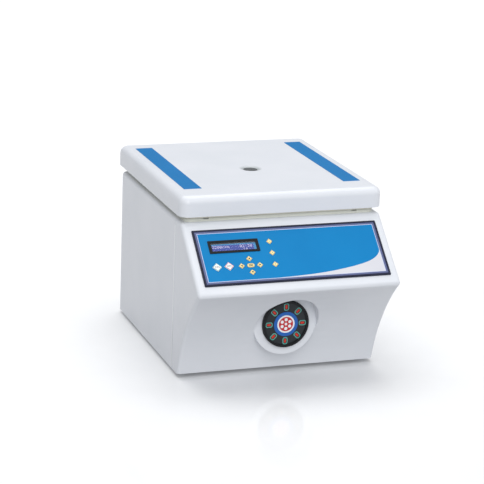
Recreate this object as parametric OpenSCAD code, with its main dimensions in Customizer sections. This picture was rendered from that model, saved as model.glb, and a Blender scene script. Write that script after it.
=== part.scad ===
// Bench centrifuge with a lid and a swing-out rotor for two microplates.
// Millimetres. Origin on the bench, under the middle of the footprint.
// +X to the right as seen from the front, +Y to the rear, +Z up.

/* [Casing] */
// Room between the bowl and each side of the casing
bowl_side_room = 30; // [29:0.5:36]
// Room between the bowl and the front edge of the top
bowl_front_room = 17.5; // [17:0.5:24]
// Room between the bowl and the rear wall
bowl_rear_room = 50; // [46:0.5:60]
// Height of the casing from its lower edge to its top edge
case_h = 247.5; // [240:0.5:262]
// Flat top in front of the seam
brow_d = 26; // [24:0.5:32]
// Length of the sloped panel face
panel_len = 132; // [126:0.5:140]
// Slope of the panel face, degrees up from level
panel_tilt = 41.1; // [36:0.1:46]
// How far the foot of the front lies behind its nose
undercut = 95; // [80:1:104]
// Radius of the hollow curve under the nose
sweep_r = 330; // [280:5:420]
// Rounding of the casing edges
edge_r = 6; // [4:0.5:8]
// Radius of the rear corners seen from above
rear_corner_r = 12; // [9:0.5:16]
// Wall of the moulded casing
case_wall = 3; // [2.4:0.1:3.6]
// Gap at the seam between the front and the side casing
seam_gap = 0.5; // [0.3:0.1:1]

/* [Lid] */
// How far the lid stands out past the casing at each side
lid_over_side = 2; // [1:0.5:4]
// How far the lid stands out past the casing at the front
lid_over_front = 5.5; // [4:0.5:8]
// How far the lid stands out past the casing at the rear
lid_over_rear = 15; // [14:0.5:18]
// Height of the lid
lid_h = 32.5; // [28:0.5:40]
// Shadow gap between the casing and the lid
lid_gap = 10; // [9.5:0.1:12]
// Radius of the lid corners seen from above
lid_corner_r = 16; // [14:0.5:20]
// Rounding of the lid's top edge
lid_top_r = 12; // [8:0.5:13]
// Wall of the lid
lid_wall = 3; // [2.4:0.1:3.6]
// Radius of the sight port's window
port_r = 12; // [9:0.5:15]
// Width of the dished rim round the sight port
port_dish_w = 7; // [4:0.5:10]
// Width of the coloured bands on the lid
band_w = 29; // [20:0.5:32]
// Length of the coloured bands
band_len = 278; // [220:1:290]
// Thickness of the bands
band_t = 0.4; // [0.3:0.1:1]

/* [Control panel] */
// Distance of the panel bezel from each side of the casing
bezel_side = 13.75; // [11:0.25:18]
// Height of the panel bezel along the slope
bezel_h = 102.4; // [98:0.2:108]
// Width of the bezel's rail
bezel_rail = 3.5; // [2.5:0.1:4.5]
// How far the bezel stands off the face
bezel_t = 2.2; // [1.8:0.1:3]
// Thickness of the keypad plate
plate_t = 1.6; // [1.2:0.1:2]
// Width of the display frame
lcd_w = 82.5; // [76:0.5:86]
// Height of the display frame
lcd_h = 23; // [20:0.5:26]
// Width of the display's opening
lcd_open_w = 73; // [60:0.5:75]
// Height of the display's opening
lcd_open_h = 15.5; // [12:0.5:18]
// Side of the large diamond keys
key_big = 10.8; // [9:0.1:11.5]
// Side of the small diamond keys
key_small = 6.8; // [5:0.1:7.2]
// How far the keys stand off the plate
key_proud = 0.9; // [0.8:0.1:1.5]
// Travel of a key
key_travel = 0.6; // [0.3:0.1:0.7]

/* [Front badge] */
// Height of the badge's centre above the bench
badge_z = 89; // [84:0.5:94]
// Radius of the round socket that holds the badge
socket_r = 53; // [50:0.5:56]
// Distance of the socket's floor behind the nose
socket_back = 65; // [62:0.5:68]
// Radius of the badge rim
badge_r = 39; // [34:0.5:44]
// How far the badge rim stands off the socket's floor
badge_t = 6; // [4:0.5:8]
// Radius of the circle of tube marks
marks_r = 28.5; // [26:0.5:30]
// Number of tube marks
mark_count = 8; // [6:1:12]

/* [Rotor] */
// Height of the trunnion axis above the bench
pivot_z = 203; // [200:0.5:206]
// Distance of each trunnion axis from the rotor axis
pivot_r = 58.5; // [58:0.1:60]
// Radius of the trunnion pins
trunnion_r = 4; // [3:0.1:5]
// Length of a microplate
plate_len = 127.8; // [127.8:0.1:129]
// Width of a microplate
plate_w = 85.5; // [85.5:0.1:86.5]
// Clearance round the microplate in its carrier
plate_clear = 0.6; // [0.4:0.1:0.8]
// Depth of the carrier's floor below the trunnions
carrier_drop = 30; // [26:0.5:31]
// Sheet of the carriers
carrier_t = 1.6; // [1.2:0.1:2]
// Thickness of the carrier's ears
ear_t = 3.5; // [3:0.1:4]
// Thickness of the yoke's side bars
bar_t = 10; // [8:0.5:12]
// Radius of the motor shaft
shaft_r = 6; // [5:0.1:7]
// Inner radius of the chamber bowl, which sets the size of the casing round it
bowl_r = 138; // [132:0.5:150]
// Height of the bowl's floor above the bench
bowl_floor_z = 138; // [130:0.5:141]
// Sheet of the bowl
bowl_t = 1.2; // [1:0.1:1.5]

/* [Drive] */
// Radius of the motor
motor_r = 54; // [46:0.5:58]
// Height of the motor
motor_h = 86; // [78:0.5:90]
// Height of the rubber mounts under the motor
damper_h = 14; // [12:0.5:18]

/* [Hinges and lock] */
// Distance between the two hinges, middle to middle
hinge_span = 220; // [180:1:240]
// Radius of the hinge barrels
barrel_r = 4.5; // [4:0.1:4.7]
// Radius of the hinge pins
hinge_pin_r = 2; // [1.6:0.1:2.4]
// Distance of each lid hook from the side of the casing
hook_inset = 43; // [40:0.5:50]
// Width of a lid hook
hook_w = 14; // [12:0.5:16]
// Radius of the lock shaft
lock_shaft_r = 3; // [2.5:0.1:3.5]

/* [Feet and base] */
// Height of the rubber feet below the casing
foot_h = 6; // [4:0.5:10]
// Radius of the rubber feet
foot_r = 11; // [8:0.5:14]
// Sheet of the base pan
pan_t = 2; // [1.5:0.1:3]
// Height of the base pan's upturned edge
pan_lip = 16; // [12:0.5:22]

/* [Hidden] */
$fn = 96;

// Running clearance on a radius, for shafts and pins that turn
run_fit = 0.05;
// Gap kept between pieces that move past each other
free_gap = 0.3;
// How far a cutting shape runs past the face it cuts
over = 1;
// Sliver of air under a flange that sits on the casing
seat_gap = 0.01;
// Screws of the casing
screw_r = 2;
screw_len = 10;

// Footprint that the bowl asks for
case_w = 2 * (bowl_r + bowl_side_room);
side_d = 2 * bowl_r + bowl_front_room + bowl_rear_room - brow_d;
hook_span = case_w - 2 * hook_inset;
bezel_w = case_w - 2 * bezel_side;

// Places that follow from the sizes above
slope_run = panel_len * cos(panel_tilt);
slope_drop = panel_len * sin(panel_tilt);
overall_d = slope_run + brow_d + side_d + lid_over_rear;
nose_y = -overall_d / 2;
brow_y = nose_y + slope_run;
seam_y = brow_y + brow_d;
rear_y = seam_y + side_d;
foot_y = nose_y + undercut;
base_z = foot_h;
top_z = base_z + case_h;
rotor_y = rear_y - bowl_rear_room - bowl_r;

// Front outline: the core line lies edge_r inside the skin
core_top = [brow_y + edge_r * tan(panel_tilt / 2), top_z - edge_r];
core_nose = [nose_y + edge_r, core_top[1] - (core_top[0] - nose_y - edge_r) * tan(panel_tilt)];
core_foot = [foot_y + edge_r, base_z];
core_sweep_r = sweep_r + edge_r;
chord = core_nose - core_foot;
chord_len = norm(chord);
sweep_back = sqrt(pow(core_sweep_r, 2) - pow(chord_len / 2, 2));
sweep_c = (core_nose + core_foot) / 2 + [-chord[1], chord[0]] / chord_len * sweep_back;

// Lid
lid_w = case_w + 2 * lid_over_side;
lid_d = brow_d + side_d + lid_over_front + lid_over_rear;
lid_y = brow_y - lid_over_front + lid_d / 2;
lid_z = top_z + lid_gap;
lid_top_z = lid_z + lid_h;
liner_t = 2;
liner_w = lid_w - 2 * lid_wall;
liner_d = lid_d - 2 * lid_wall;
liner_corner_r = lid_corner_r - lid_wall;
band_x = lid_w / 2 - 20.5 - band_w / 2;
band_y = lid_y + 6.5;
port_dish_depth = 2;
port_seat_t = 3;
dome_r = bowl_r - 6;
dome_h = 5;
sleeve_low_z = lid_z + dome_h;
sleeve_top_z = lid_top_z - port_dish_depth - port_seat_t - 3;

// Deck and seals
deck_t = 2.5;
rim_w = 5;
rim_front_y = brow_y + 4.5;
rim_rear_y = rear_y - 8;
rim_half_w = case_w / 2 - 9;
rim_corner_r = 10;
rim_h = lid_gap - 4.3;
ring_w = 6;
bowl_flange_w = 6.5;
bowl_corner_r = 14;
bowl_top_z = top_z + deck_t;
neck_r = 26;
neck_h = 8;
gasket_w = 5;

// Panel
panel_mid = panel_len / 2 + 1;
panel_left = -bezel_w / 2;
plate_w_out = bezel_w - 2 * bezel_rail;
plate_h_out = bezel_h - 2 * bezel_rail;
window_w = bezel_w - 24.5;
window_h = bezel_h - 20.4;
lcd_pos = [panel_left + 62.05, 48.7];
key_flange = 1.2;
key_flange_t = 0.9;
key_gap = 0.3;
board_t = 1.6;
board_depth = 8;
enter_len = 5;

// Rotor and carriers
tray_half_y = plate_len / 2 + plate_clear;
ear_out_y = tray_half_y + ear_t;
bar_in_y = ear_out_y + 1.5;
bar_out_y = bar_in_y + bar_t;
carrier_half_x = plate_w / 2 + plate_clear + carrier_t;
bar_end_r = 10;
web_half = 10.5;
hub_top_z = pivot_z + 15;
tray_wall_h = 9;
mat_t = 2;
sump_z = base_z + pan_t;

// Motor
motor_z = sump_z + damper_h + 4;
motor_plate_t = 4;
motor_top_z = motor_z + motor_h;
bearing_r = 16;
bearing_h = 10;
endcap_h = 14;

// Hinges
hinge_y = rear_y + barrel_r + 0.5;
hinge_z = lid_z - barrel_r - 3;
knuckle_w = 12;
knuckle_gap = 0.4;
leaf_t = 2;

// Lid lock
hook_t = 3;
hook_y = seam_y - 9.5;
hook_low_z = top_z - 17.5;
lock_y = hook_y - 12;
lock_z = top_z - 21.5;
lever_len = 12;
lever_x = 40;
solenoid_w = 24;
solenoid_h = 30;

socket_y = nose_y + socket_back;
badge_ring_w = 4.5;

// A slab with round corners in plan and a rounded top edge, standing on z = 0
module rounded_slab(w, d, h, corner_r, top_r) {
    inner_r = corner_r - top_r;
    for (x = [-1, 1], y = [-1, 1])
        translate([x * (w / 2 - corner_r), y * (d / 2 - corner_r), 0])
            rotate_extrude() {
                square([inner_r + top_r, h - top_r]);
                square([inner_r, h]);
                translate([inner_r, h - top_r])
                    intersection() { circle(top_r); square(top_r); }
            }
    translate([0, (d - 2 * corner_r) / 2, 0])
        rotate([90, 0, 0]) linear_extrude(d - 2 * corner_r) slab_side(w, h, top_r);
    translate([-(w - 2 * corner_r) / 2, 0, 0])
        rotate([90, 0, 90]) linear_extrude(w - 2 * corner_r) slab_side(d, h, top_r);
}

// Cross section of such a slab
module slab_side(w, h, top_r) {
    translate([-w / 2, 0]) square([w, h - top_r]);
    translate([-w / 2 + top_r, 0]) square([w - 2 * top_r, h]);
    for (s = [-1, 1]) translate([s * (w / 2 - top_r), h - top_r]) circle(top_r);
}

// A rectangle with round corners
module rounded_rect(w, h, r) {
    square([w - 2 * r, h], center = true);
    square([w, h - 2 * r], center = true);
    for (x = [-1, 1], y = [-1, 1]) translate([x * (w / 2 - r), y * (h / 2 - r)]) circle(r);
}

// A slot with round ends, its length along x
module slot(len, w) {
    square([len - w, w], center = true);
    for (s = [-1, 1]) translate([s * (len - w) / 2, 0]) circle(w / 2);
}

// Turns a y-z outline into a solid that runs across the object
module across(w) {
    translate([-w / 2, 0, 0]) rotate([90, 0, 90]) linear_extrude(w) children();
}

// Side outline of the front, drawn in y and z, set in from the skin
module front_outline(inset) {
    top_in = [brow_y + inset * tan(panel_tilt / 2), top_z - inset];
    nose_in = nose_y + inset;
    difference() {
        polygon([
            [seam_y, base_z],
            [nose_in, base_z],
            [nose_in, top_in[1] - (top_in[0] - nose_in) * tan(panel_tilt)],
            top_in,
            [seam_y, top_in[1]]
        ]);
        translate(sweep_c) circle(sweep_r + inset, $fn = 180);
    }
}

// Line that the edge rounding rolls along, run on past the cuts below and behind
module front_core_outline() {
    run_on = 3 * edge_r;
    difference() {
        polygon([
            [seam_y + run_on, base_z - run_on],
            [core_nose[0], base_z - run_on],
            core_nose,
            core_top,
            [seam_y + run_on, core_top[1]]
        ]);
        translate(sweep_c) circle(core_sweep_r, $fn = 120);
    }
}

// Solid of the front, all its edges rounded, cut level below and flat at the seam
module front_solid() {
    intersection() {
        minkowski() {
            across(case_w - 2 * edge_r) front_core_outline();
            sphere(edge_r, $fn = 28);
        }
        translate([-case_w, nose_y - over, base_z])
            cube([2 * case_w, seam_y - nose_y + over - seam_gap / 2, case_h + over]);
    }
}

// Puts its children on the panel face: x across, y up the slope, z off the face
module on_slope(x = 0, down = 0) {
    translate([0, brow_y, top_z]) rotate([panel_tilt, 0, 0]) translate([x, -down, 0]) children();
}

module front_shell() {
    color("gainsboro")
    difference() {
        union() {
            difference() {
                front_solid();
                difference() {
                    across(case_w - 2 * case_wall) {
                        front_outline(case_wall);
                        translate([foot_y + 2 * case_wall, base_z - over])
                            square([seam_y - foot_y, 2 * over]);
                        translate([seam_y - 2 * over, base_z - over])
                            square([3 * over, case_h - case_wall + over]);
                    }
                    socket_cup(socket_r + case_wall, case_wall);
                }
            }
            socket_boss();
            for (s = [-1, 1]) panel_boss_row(s);
        }
        socket_cup(socket_r, 0);
        on_slope(0, panel_mid) translate([0, 0, -case_wall - over])
            linear_extrude(case_wall + 2 * over) rounded_rect(window_w, window_h, 4);
        translate([0, rotor_y, top_z - 2 * case_wall])
            cylinder(r = bowl_r + bowl_t + 1.5, h = 3 * case_wall);
        hook_slots();
        // Cable pass behind the badge
        translate([0, socket_y - over, badge_z]) rotate([-90, 0, 0])
            cylinder(r = 3, h = 2 * case_wall + 2 * over);
    }
}

// Space in front of the socket's floor, and with a wall the cup that holds it
module socket_cup(r, wall) {
    translate([0, nose_y - over, badge_z]) rotate([-90, 0, 0])
        cylinder(r = r, h = socket_back + over + wall);
}

// The lower half of the socket stands off the swept face as a round boss
module socket_boss() {
    lip_r = 2;
    back_h = foot_y - socket_y;
    translate([0, socket_y, badge_z]) rotate([-90, 0, 0])
        rotate_extrude() {
            translate([0, lip_r]) square([socket_r, case_wall - lip_r]);
            square([socket_r - lip_r, case_wall]);
            translate([socket_r - lip_r, lip_r]) circle(lip_r);
            translate([socket_r - case_wall, lip_r])
                square([case_wall, min(back_h, 22) - lip_r]);
        }
}

// Bosses behind the panel face that take the bezel's clips
module panel_boss_row(side) {
    for (x = [-1, 0, 1])
        on_slope(x * (window_w / 2 - 22), panel_mid + side * (window_h / 2 + 4))
            translate([0, 0, -case_wall - 5]) cylinder(r = 2.5, h = 5 + case_wall / 2);
}

module side_casing() {
    extra = 40;
    d = side_d + extra;
    color("lightsteelblue")
    difference() {
        translate([0, rear_y - d / 2, base_z])
            rounded_slab(case_w, d, case_h, rear_corner_r, edge_r);
        translate([0, rear_y - d / 2, base_z - over])
            rounded_slab(case_w - 2 * case_wall, d - 2 * case_wall, case_h - case_wall + over,
                rear_corner_r - case_wall, edge_r - case_wall);
        translate([-case_w, seam_y - 2 * extra + seam_gap / 2, 0])
            cube([2 * case_w, 2 * extra, 2 * case_h]);
        // Way through the top for the bowl, leaving a ledge for the deck
        translate([0, rotor_y, top_z - 2 * case_wall])
            cylinder(r = bowl_r + bowl_t + 1.5, h = 3 * case_wall);
        rear_openings();
        deck_screw_places() translate([0, 0, -2 * case_wall])
            cylinder(r = screw_r + 0.2, h = 3 * case_wall);
        hinge_screw_places() translate([0, 0, -2 * case_wall])
            cylinder(r = screw_r + 0.2, h = 3 * case_wall);
    }
}

// Rear wall: the inlet's cut-out and a field of cooling slots
module rear_openings() {
    translate([inlet_x, rear_y - case_wall - over, inlet_z]) rotate([-90, 0, 0])
        linear_extrude(case_wall + 2 * over)
            square([inlet_w + 0.4, inlet_h + 0.4], center = true);
    for (i = [0:8], j = [0, 1])
        translate([20 + i * 12, rear_y - case_wall - over, base_z + 60 + j * 46])
            rotate([-90, 0, 0]) rotate([0, 0, 90])
                linear_extrude(case_wall + 2 * over) slot(38, 5);
}

inlet_x = -110;
inlet_z = base_z + 46;
inlet_w = 27;
inlet_h = 58;
rocker_w = 20;
rocker_h = 13;
rocker_z = 18;
rocker_pivot_r = 1.5;
rocker_tilt = 8;

// Socket, fuse drawer and switch frame in one snap-in module
module power_inlet() {
    flange_t = 2.5;
    depth = 30;
    translate([inlet_x, rear_y + seat_gap, inlet_z]) rotate([90, 0, 180]) color("dimgray") {
        difference() {
            union() {
                linear_extrude(flange_t) rounded_rect(inlet_w + 8, inlet_h + 8, 3);
                translate([0, 0, -depth]) linear_extrude(depth)
                    square([inlet_w, inlet_h], center = true);
            }
            // Socket with its two cut corners
            translate([0, -12, -18]) linear_extrude(20 + flange_t)
                polygon([[-11.5, -8], [11.5, -8], [11.5, 3], [7, 8], [-7, 8], [-11.5, 3]]);
            // Well and pivot holes of the switch
            translate([0, rocker_z, -12]) linear_extrude(14 + flange_t)
                square([rocker_w + 1, rocker_h + 1], center = true);
            translate([-inlet_w / 2 + 1, rocker_z, -4]) rotate([0, 90, 0])
                cylinder(r = rocker_pivot_r + run_fit, h = inlet_w - 2);
        }
        // Contact blades of the socket
        for (x = [-7, 0, 7]) translate([x - 1, x == 0 ? -10 : -14, -18.1]) cube([2, 4, 15]);
    }
}

// Rocker of the mains switch
module power_rocker() {
    r = 16;
    translate([inlet_x, rear_y + seat_gap, inlet_z]) rotate([90, 0, 180]) color("black")
    translate([0, rocker_z, -4]) rotate([rocker_tilt, 0, 0]) {
        translate([-rocker_w / 2, 0, 0]) rotate([90, 0, 90]) linear_extrude(rocker_w)
            difference() {
                polygon([[-rocker_h / 2 + 1.4, -4], [rocker_h / 2 - 1.4, -4],
                    [rocker_h / 2 - 0.6, 9], [-rocker_h / 2 + 0.6, 9]]);
                translate([0, 7 + r]) circle(r);
            }
        rotate([0, 90, 0]) translate([0, 0, -inlet_w / 2 + 1.2])
            cylinder(r = rocker_pivot_r, h = inlet_w - 2.4);
    }
}

// The plate that closes the top round the chamber
module top_deck() {
    plate_w_deck = 2 * (rim_half_w - rim_w);
    plate_d_deck = rim_rear_y - rim_front_y - 2 * rim_w;
    mid_y = (rim_rear_y + rim_front_y) / 2;
    color("whitesmoke")
    difference() {
        union() {
            translate([0, mid_y, top_z]) linear_extrude(deck_t)
                rounded_rect(plate_w_deck, plate_d_deck, rim_corner_r - rim_w);
            // Low fence inside the rim seal
            translate([0, mid_y, top_z]) linear_extrude(deck_t + 1.5)
                difference() {
                    rounded_rect(plate_w_deck, plate_d_deck, rim_corner_r - rim_w);
                    rounded_rect(plate_w_deck - 4, plate_d_deck - 4, rim_corner_r - rim_w - 2);
                }
        }
        translate([0, rotor_y, top_z - over]) cylinder(r = bowl_r + bowl_t, h = 10 * deck_t);
        translate([0, rotor_y, top_z + deck_t])
            cylinder(r = bowl_r + bowl_t + bowl_flange_w + 0.4, h = 10);
        hook_slots();
        deck_screw_places() translate([0, 0, -over])
            cylinder(r = screw_r + 0.2, h = deck_t + 2 * over);
    }
}

// Slots in the deck and the brow where the lid's hooks go in
module hook_slots() {
    for (s = [-1, 1])
        translate([s * hook_span / 2, hook_y - 0.5, top_z - 2 * case_wall])
            linear_extrude(4 * case_wall) rounded_rect(hook_w + 4, hook_t + 9, 1.5);
}

module deck_screw_places() {
    for (x = [-1, 1], y = [rotor_y - 0.8 * bowl_r, rotor_y + 0.9 * bowl_r])
        translate([x * (rim_half_w - 17), y, top_z]) children();
}

// Screw places of the hinges' lower halves, heads to the rear
module hinge_screw_places() {
    for (s = [-1, 1], k = [-1, 1])
        translate([s * hinge_span / 2 + k * 14, rear_y + seat_gap, hinge_z - 24])
            rotate([-90, 0, 0]) children();
}

// The same screw holds the deck and the hinges to the casing
module case_screws() {
    color("silver") {
        deck_screw_places() pan_screw(screw_r, deck_t, screw_len);
        hinge_screw_places() pan_screw(screw_r, leaf_t, screw_len);
    }
}

// A pan-head screw whose head rests on a face at the given height
module pan_screw(r, face, len) {
    difference() {
        translate([0, 0, face]) rotate_extrude() {
            square([1.9 * r, 0.7 * r]);
            square([1.4 * r, 1.1 * r]);
        }
        translate([0, 0, face + 0.4 * r]) {
            cube([2.2 * r, 0.5 * r, 2 * r], center = true);
            cube([0.5 * r, 2.2 * r, 2 * r], center = true);
        }
    }
    translate([0, 0, face - len + 0.2]) cylinder(r = r, h = len - 0.2 + 0.1);
}

// Stainless bowl round the rotor
module chamber_bowl() {
    wall_h = bowl_top_z - bowl_floor_z;
    color("silver") translate([0, rotor_y, bowl_floor_z])
    rotate_extrude($fn = 180) {
        difference() {
            union() {
                translate([0, -bowl_t]) square([bowl_r + bowl_t - bowl_corner_r, wall_h + bowl_t]);
                translate([0, bowl_corner_r - bowl_t])
                    square([bowl_r + bowl_t, wall_h - bowl_corner_r + bowl_t]);
                translate([bowl_r + bowl_t - bowl_corner_r, bowl_corner_r - bowl_t])
                    circle(bowl_corner_r);
            }
            square([bowl_r - bowl_corner_r + bowl_t, wall_h + over]);
            translate([0, bowl_corner_r - bowl_t])
                square([bowl_r, wall_h + over]);
            translate([bowl_r + bowl_t - bowl_corner_r, bowl_corner_r - bowl_t])
                circle(bowl_corner_r - bowl_t);
            translate([-over, -2 * bowl_t]) square([neck_r + over, 3 * bowl_t]);
        }
        // Raised neck round the shaft keeps spills in the bowl
        translate([neck_r, -bowl_t]) square([bowl_t, neck_h]);
        translate([bowl_r, wall_h]) square([bowl_t + bowl_flange_w, bowl_t]);
        translate([bowl_r, wall_h - bowl_t]) square([bowl_t, 2 * bowl_t]);
    }
}

// Bulb seal on the bowl's flange
module bowl_gasket() {
    base = bowl_top_z + bowl_t;
    rise = lid_z - free_gap - base;
    bead_r = 2;
    color("dimgray") translate([0, rotor_y, base]) rotate_extrude($fn = 180) {
        translate([bowl_r + 2.5, 0]) square([gasket_w, rise - bead_r - 0.5]);
        translate([bowl_r + 2.5 + gasket_w / 2, rise - bead_r]) circle(bead_r, $fn = 32);
        translate([bowl_r + 3.8, rise / 2]) square([gasket_w - 2.6, rise / 2 - bead_r / 2]);
    }
}

// Strip seal that fills the gap round the deck
module rim_gasket() {
    w = 2 * rim_half_w;
    d = rim_rear_y - rim_front_y;
    color("darkseagreen") translate([0, (rim_rear_y + rim_front_y) / 2, top_z])
    difference() {
        union() {
            linear_extrude(rim_h - 1.2) rounded_rect(w, d, rim_corner_r);
            linear_extrude(rim_h) rounded_rect(w - 2, d - 2, rim_corner_r - 1);
        }
        translate([0, 0, -over]) linear_extrude(rim_h + 2 * over)
            rounded_rect(w - 2 * rim_w, d - 2 * rim_w, rim_corner_r - rim_w);
        // Drain notches in line with the lid's hooks
        for (s = [-1, 1])
            translate([s * hook_span / 2, -d / 2, rim_h - 1.5]) cube([9, 4 * rim_w, 2], center = true);
    }
}

module lid_cover() {
    color("white")
    difference() {
        translate([0, lid_y, lid_z]) rounded_slab(lid_w, lid_d, lid_h, lid_corner_r, lid_top_r);
        difference() {
            translate([0, lid_y, lid_z - over])
                rounded_slab(lid_w - 2 * lid_wall, lid_d - 2 * lid_wall, lid_h - lid_wall + over,
                    lid_corner_r - lid_wall, lid_top_r - lid_wall);
            // Bosses for the liner's screws
            liner_screw_places() translate([0, 0, lid_z + liner_t]) cylinder(r = 4.5, h = lid_h);
            translate([0, rotor_y, sleeve_top_z]) cylinder(r = port_r + 5, h = lid_h);
        }
        liner_screw_places() translate([0, 0, lid_z]) cylinder(r = 1.95, h = 12);
        // Dished rim, window seat and sight hole
        translate([0, rotor_y, lid_top_z]) rotate_extrude() {
            polygon([[0, -port_dish_depth], [port_r + 1, -port_dish_depth],
                [port_r + port_dish_w, 0], [port_r + port_dish_w, 2], [0, 2]]);
            translate([0, -port_dish_depth - port_seat_t]) square([port_r, port_seat_t + over]);
            translate([0, -lid_h]) square([port_r - 2, lid_h]);
        }
    }
}

module port_window() {
    color("lightcyan", 0.5)
    translate([0, rotor_y, lid_top_z - port_dish_depth - port_seat_t]) rotate_extrude() {
        square([port_r, port_seat_t - 0.5]);
        square([port_r - 0.5, port_seat_t]);
    }
}

// Tube that lines the sight hole between the cover and the liner
module port_sleeve() {
    sleeve_h = sleeve_top_z - sleeve_low_z;
    color("gray") translate([0, rotor_y, sleeve_low_z]) difference() {
        cylinder(r = port_r, h = sleeve_h);
        translate([0, 0, -over]) cylinder(r = port_r - 2, h = sleeve_h + 2 * over);
    }
}

module liner_screw_places() {
    for (x = [-1, 1], y = [-1, 0, 1])
        translate([x * (lid_w / 2 - 20), lid_y + y * (lid_d / 2 - 42) + 2, 0]) children();
}

module liner_screws() {
    color("silver") liner_screw_places()
        translate([0, 0, lid_z]) mirror([0, 0, 1]) pan_screw(1.9, 0, 10);
}

// Inner pan of the lid, with the ring that meets the rim seal
module lid_liner() {
    w = 2 * rim_half_w + 2;
    d = rim_rear_y - rim_front_y + 2;
    color("ivory")
    difference() {
        union() {
            translate([0, lid_y, lid_z]) linear_extrude(liner_t)
                rounded_rect(liner_w, liner_d, liner_corner_r);
            translate([0, (rim_rear_y + rim_front_y) / 2, top_z + rim_h + free_gap])
                linear_extrude(lid_gap - rim_h - free_gap + over) difference() {
                    rounded_rect(w, d, rim_corner_r + 1);
                    rounded_rect(w - 2 * ring_w, d - 2 * ring_w, rim_corner_r + 1 - ring_w);
                }
            // Pressed dome over the rotor
            translate([0, rotor_y, lid_z]) rotate_extrude($fn = 180)
                polygon([[0, dome_h], [dome_r - dome_h - 1, dome_h], [dome_r, 0],
                    [dome_r + liner_t, 0], [dome_r + liner_t, liner_t], [dome_r + 0.8, liner_t],
                    [dome_r - dome_h, dome_h + liner_t], [0, dome_h + liner_t]]);
        }
        translate([0, rotor_y, lid_z - over]) rotate_extrude($fn = 180)
            polygon([[0, 0], [dome_r + over, 0], [dome_r, over], [dome_r - dome_h - 1, dome_h + over],
                [0, dome_h + over]]);
        translate([0, rotor_y, lid_z]) cylinder(r = port_r + 0.1, h = lid_h);
        liner_screw_places() translate([0, 0, lid_z - 5]) cylinder(r = 2.1, h = 20);
    }
}

// Coloured bands along both sides of the lid
module lid_bands() {
    color("steelblue") for (s = [-1, 1]) translate([s * band_x, band_y, lid_top_z])
        linear_extrude(band_t) rounded_rect(band_w, band_len, 1);
}

// Two hooks under the lid, each with the window that a pawl enters
module lid_hooks() {
    color("silver")
    for (s = [-1, 1]) translate([s * hook_span / 2, hook_y, 0]) difference() {
        union() {
            translate([0, hook_t / 2, 0]) rotate([90, 0, 0]) linear_extrude(hook_t) {
                translate([-hook_w / 2, hook_low_z + 3]) square([hook_w, lid_z - hook_low_z - 3]);
                translate([-hook_w / 2 + 3, hook_low_z]) square([hook_w - 6, 5]);
                for (c = [-1, 1]) translate([c * (hook_w / 2 - 3), hook_low_z + 3]) circle(3);
            }
            translate([-hook_w / 2, -hook_t / 2, lid_z - 2]) cube([hook_w, 12, 2]);
        }
        translate([-4, -hook_t, hook_low_z + 3]) cube([8, 2 * hook_t, 12]);
    }
}

// Ears of the body's half of each hinge
module hinge_brackets() {
    color("lightgray")
    for (s = [-1, 1]) translate([s * hinge_span / 2, 0, 0]) difference() {
        union() {
            translate([-22, rear_y + seat_gap, hinge_z - 34]) cube([44, leaf_t, 28]);
            for (k = [-1, 1]) translate([k * knuckle_w, 0, 0]) {
                knuckle(knuckle_w - 2 * knuckle_gap);
                translate([-knuckle_w / 2 + knuckle_gap, rear_y + seat_gap, hinge_z - 8])
                    cube([knuckle_w - 2 * knuckle_gap, hinge_y - rear_y - seat_gap, 8]);
            }
        }
        hinge_bore(hinge_pin_r);
        for (k = [-1, 1])
            translate([k * 14, rear_y - over, hinge_z - 24]) rotate([-90, 0, 0])
                cylinder(r = screw_r + 0.2, h = leaf_t + 2 * over);
    }
}

module knuckle(w) {
    translate([-w / 2, hinge_y, hinge_z]) rotate([0, 90, 0]) cylinder(r = barrel_r, h = w);
}

module hinge_bore(r) {
    translate([-40, hinge_y, hinge_z]) rotate([0, 90, 0]) cylinder(r = r, h = 80);
}

// The lid's half of each hinge
module hinge_leaves() {
    color("lightgray")
    for (s = [-1, 1]) translate([s * hinge_span / 2, 0, 0]) difference() {
        union() {
            knuckle(knuckle_w - 2 * knuckle_gap);
            translate([-knuckle_w / 2 + knuckle_gap, hinge_y - 2, hinge_z])
                cube([knuckle_w - 2 * knuckle_gap, 4, lid_z - hinge_z]);
            translate([-20, hinge_y - 9, lid_z - leaf_t]) cube([40, 14, leaf_t]);
        }
        hinge_bore(hinge_pin_r + run_fit);
    }
}

module hinge_pins() {
    color("silver")
    for (s = [-1, 1]) translate([s * hinge_span / 2 - 1.5 * knuckle_w + knuckle_gap, hinge_y, hinge_z])
        rotate([0, 90, 0]) cylinder(r = hinge_pin_r, h = 3 * knuckle_w - 2 * knuckle_gap);
}

// Brackets that hang from the brow and carry the lock shaft: two ears, a bridge, two feet
module lock_brackets() {
    ear = 3;
    ear_r = 7;
    ear_x = 7;
    bridge_t = 1.5;
    foot_w = 5;
    color("silver")
    for (s = [-1, 1]) translate([s * hook_span / 2, 0, 0]) difference() {
        union() {
            for (k = [-1, 1]) {
                translate([k * ear_x - ear / 2, 0, 0]) rotate([90, 0, 90]) linear_extrude(ear) {
                    translate([lock_y, lock_z]) circle(ear_r);
                    translate([lock_y - 3, lock_z]) square([ear_r + 3, top_z - case_wall - lock_z]);
                    translate([lock_y - 5, lock_z - ear_r - bridge_t]) square([10, ear_r]);
                }
                translate([k * (ear_x + (ear + foot_w) / 2 - 0.5), lock_y + (ear_r - 3) / 2,
                    top_z - case_wall - bridge_t / 2])
                    cube([foot_w + 1, ear_r + 3, bridge_t], center = true);
            }
            translate([-ear_x, lock_y - 5, lock_z - ear_r - bridge_t])
                cube([2 * ear_x, 10, bridge_t]);
        }
        translate([-hook_w, lock_y, lock_z]) rotate([0, 90, 0])
            cylinder(r = lock_shaft_r + run_fit, h = 2 * hook_w);
    }
}

module lock_shaft() {
    color("silver") translate([-hook_span / 2 - 11, lock_y, lock_z]) rotate([0, 90, 0])
        cylinder(r = lock_shaft_r, h = hook_span + 22);
}

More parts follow.
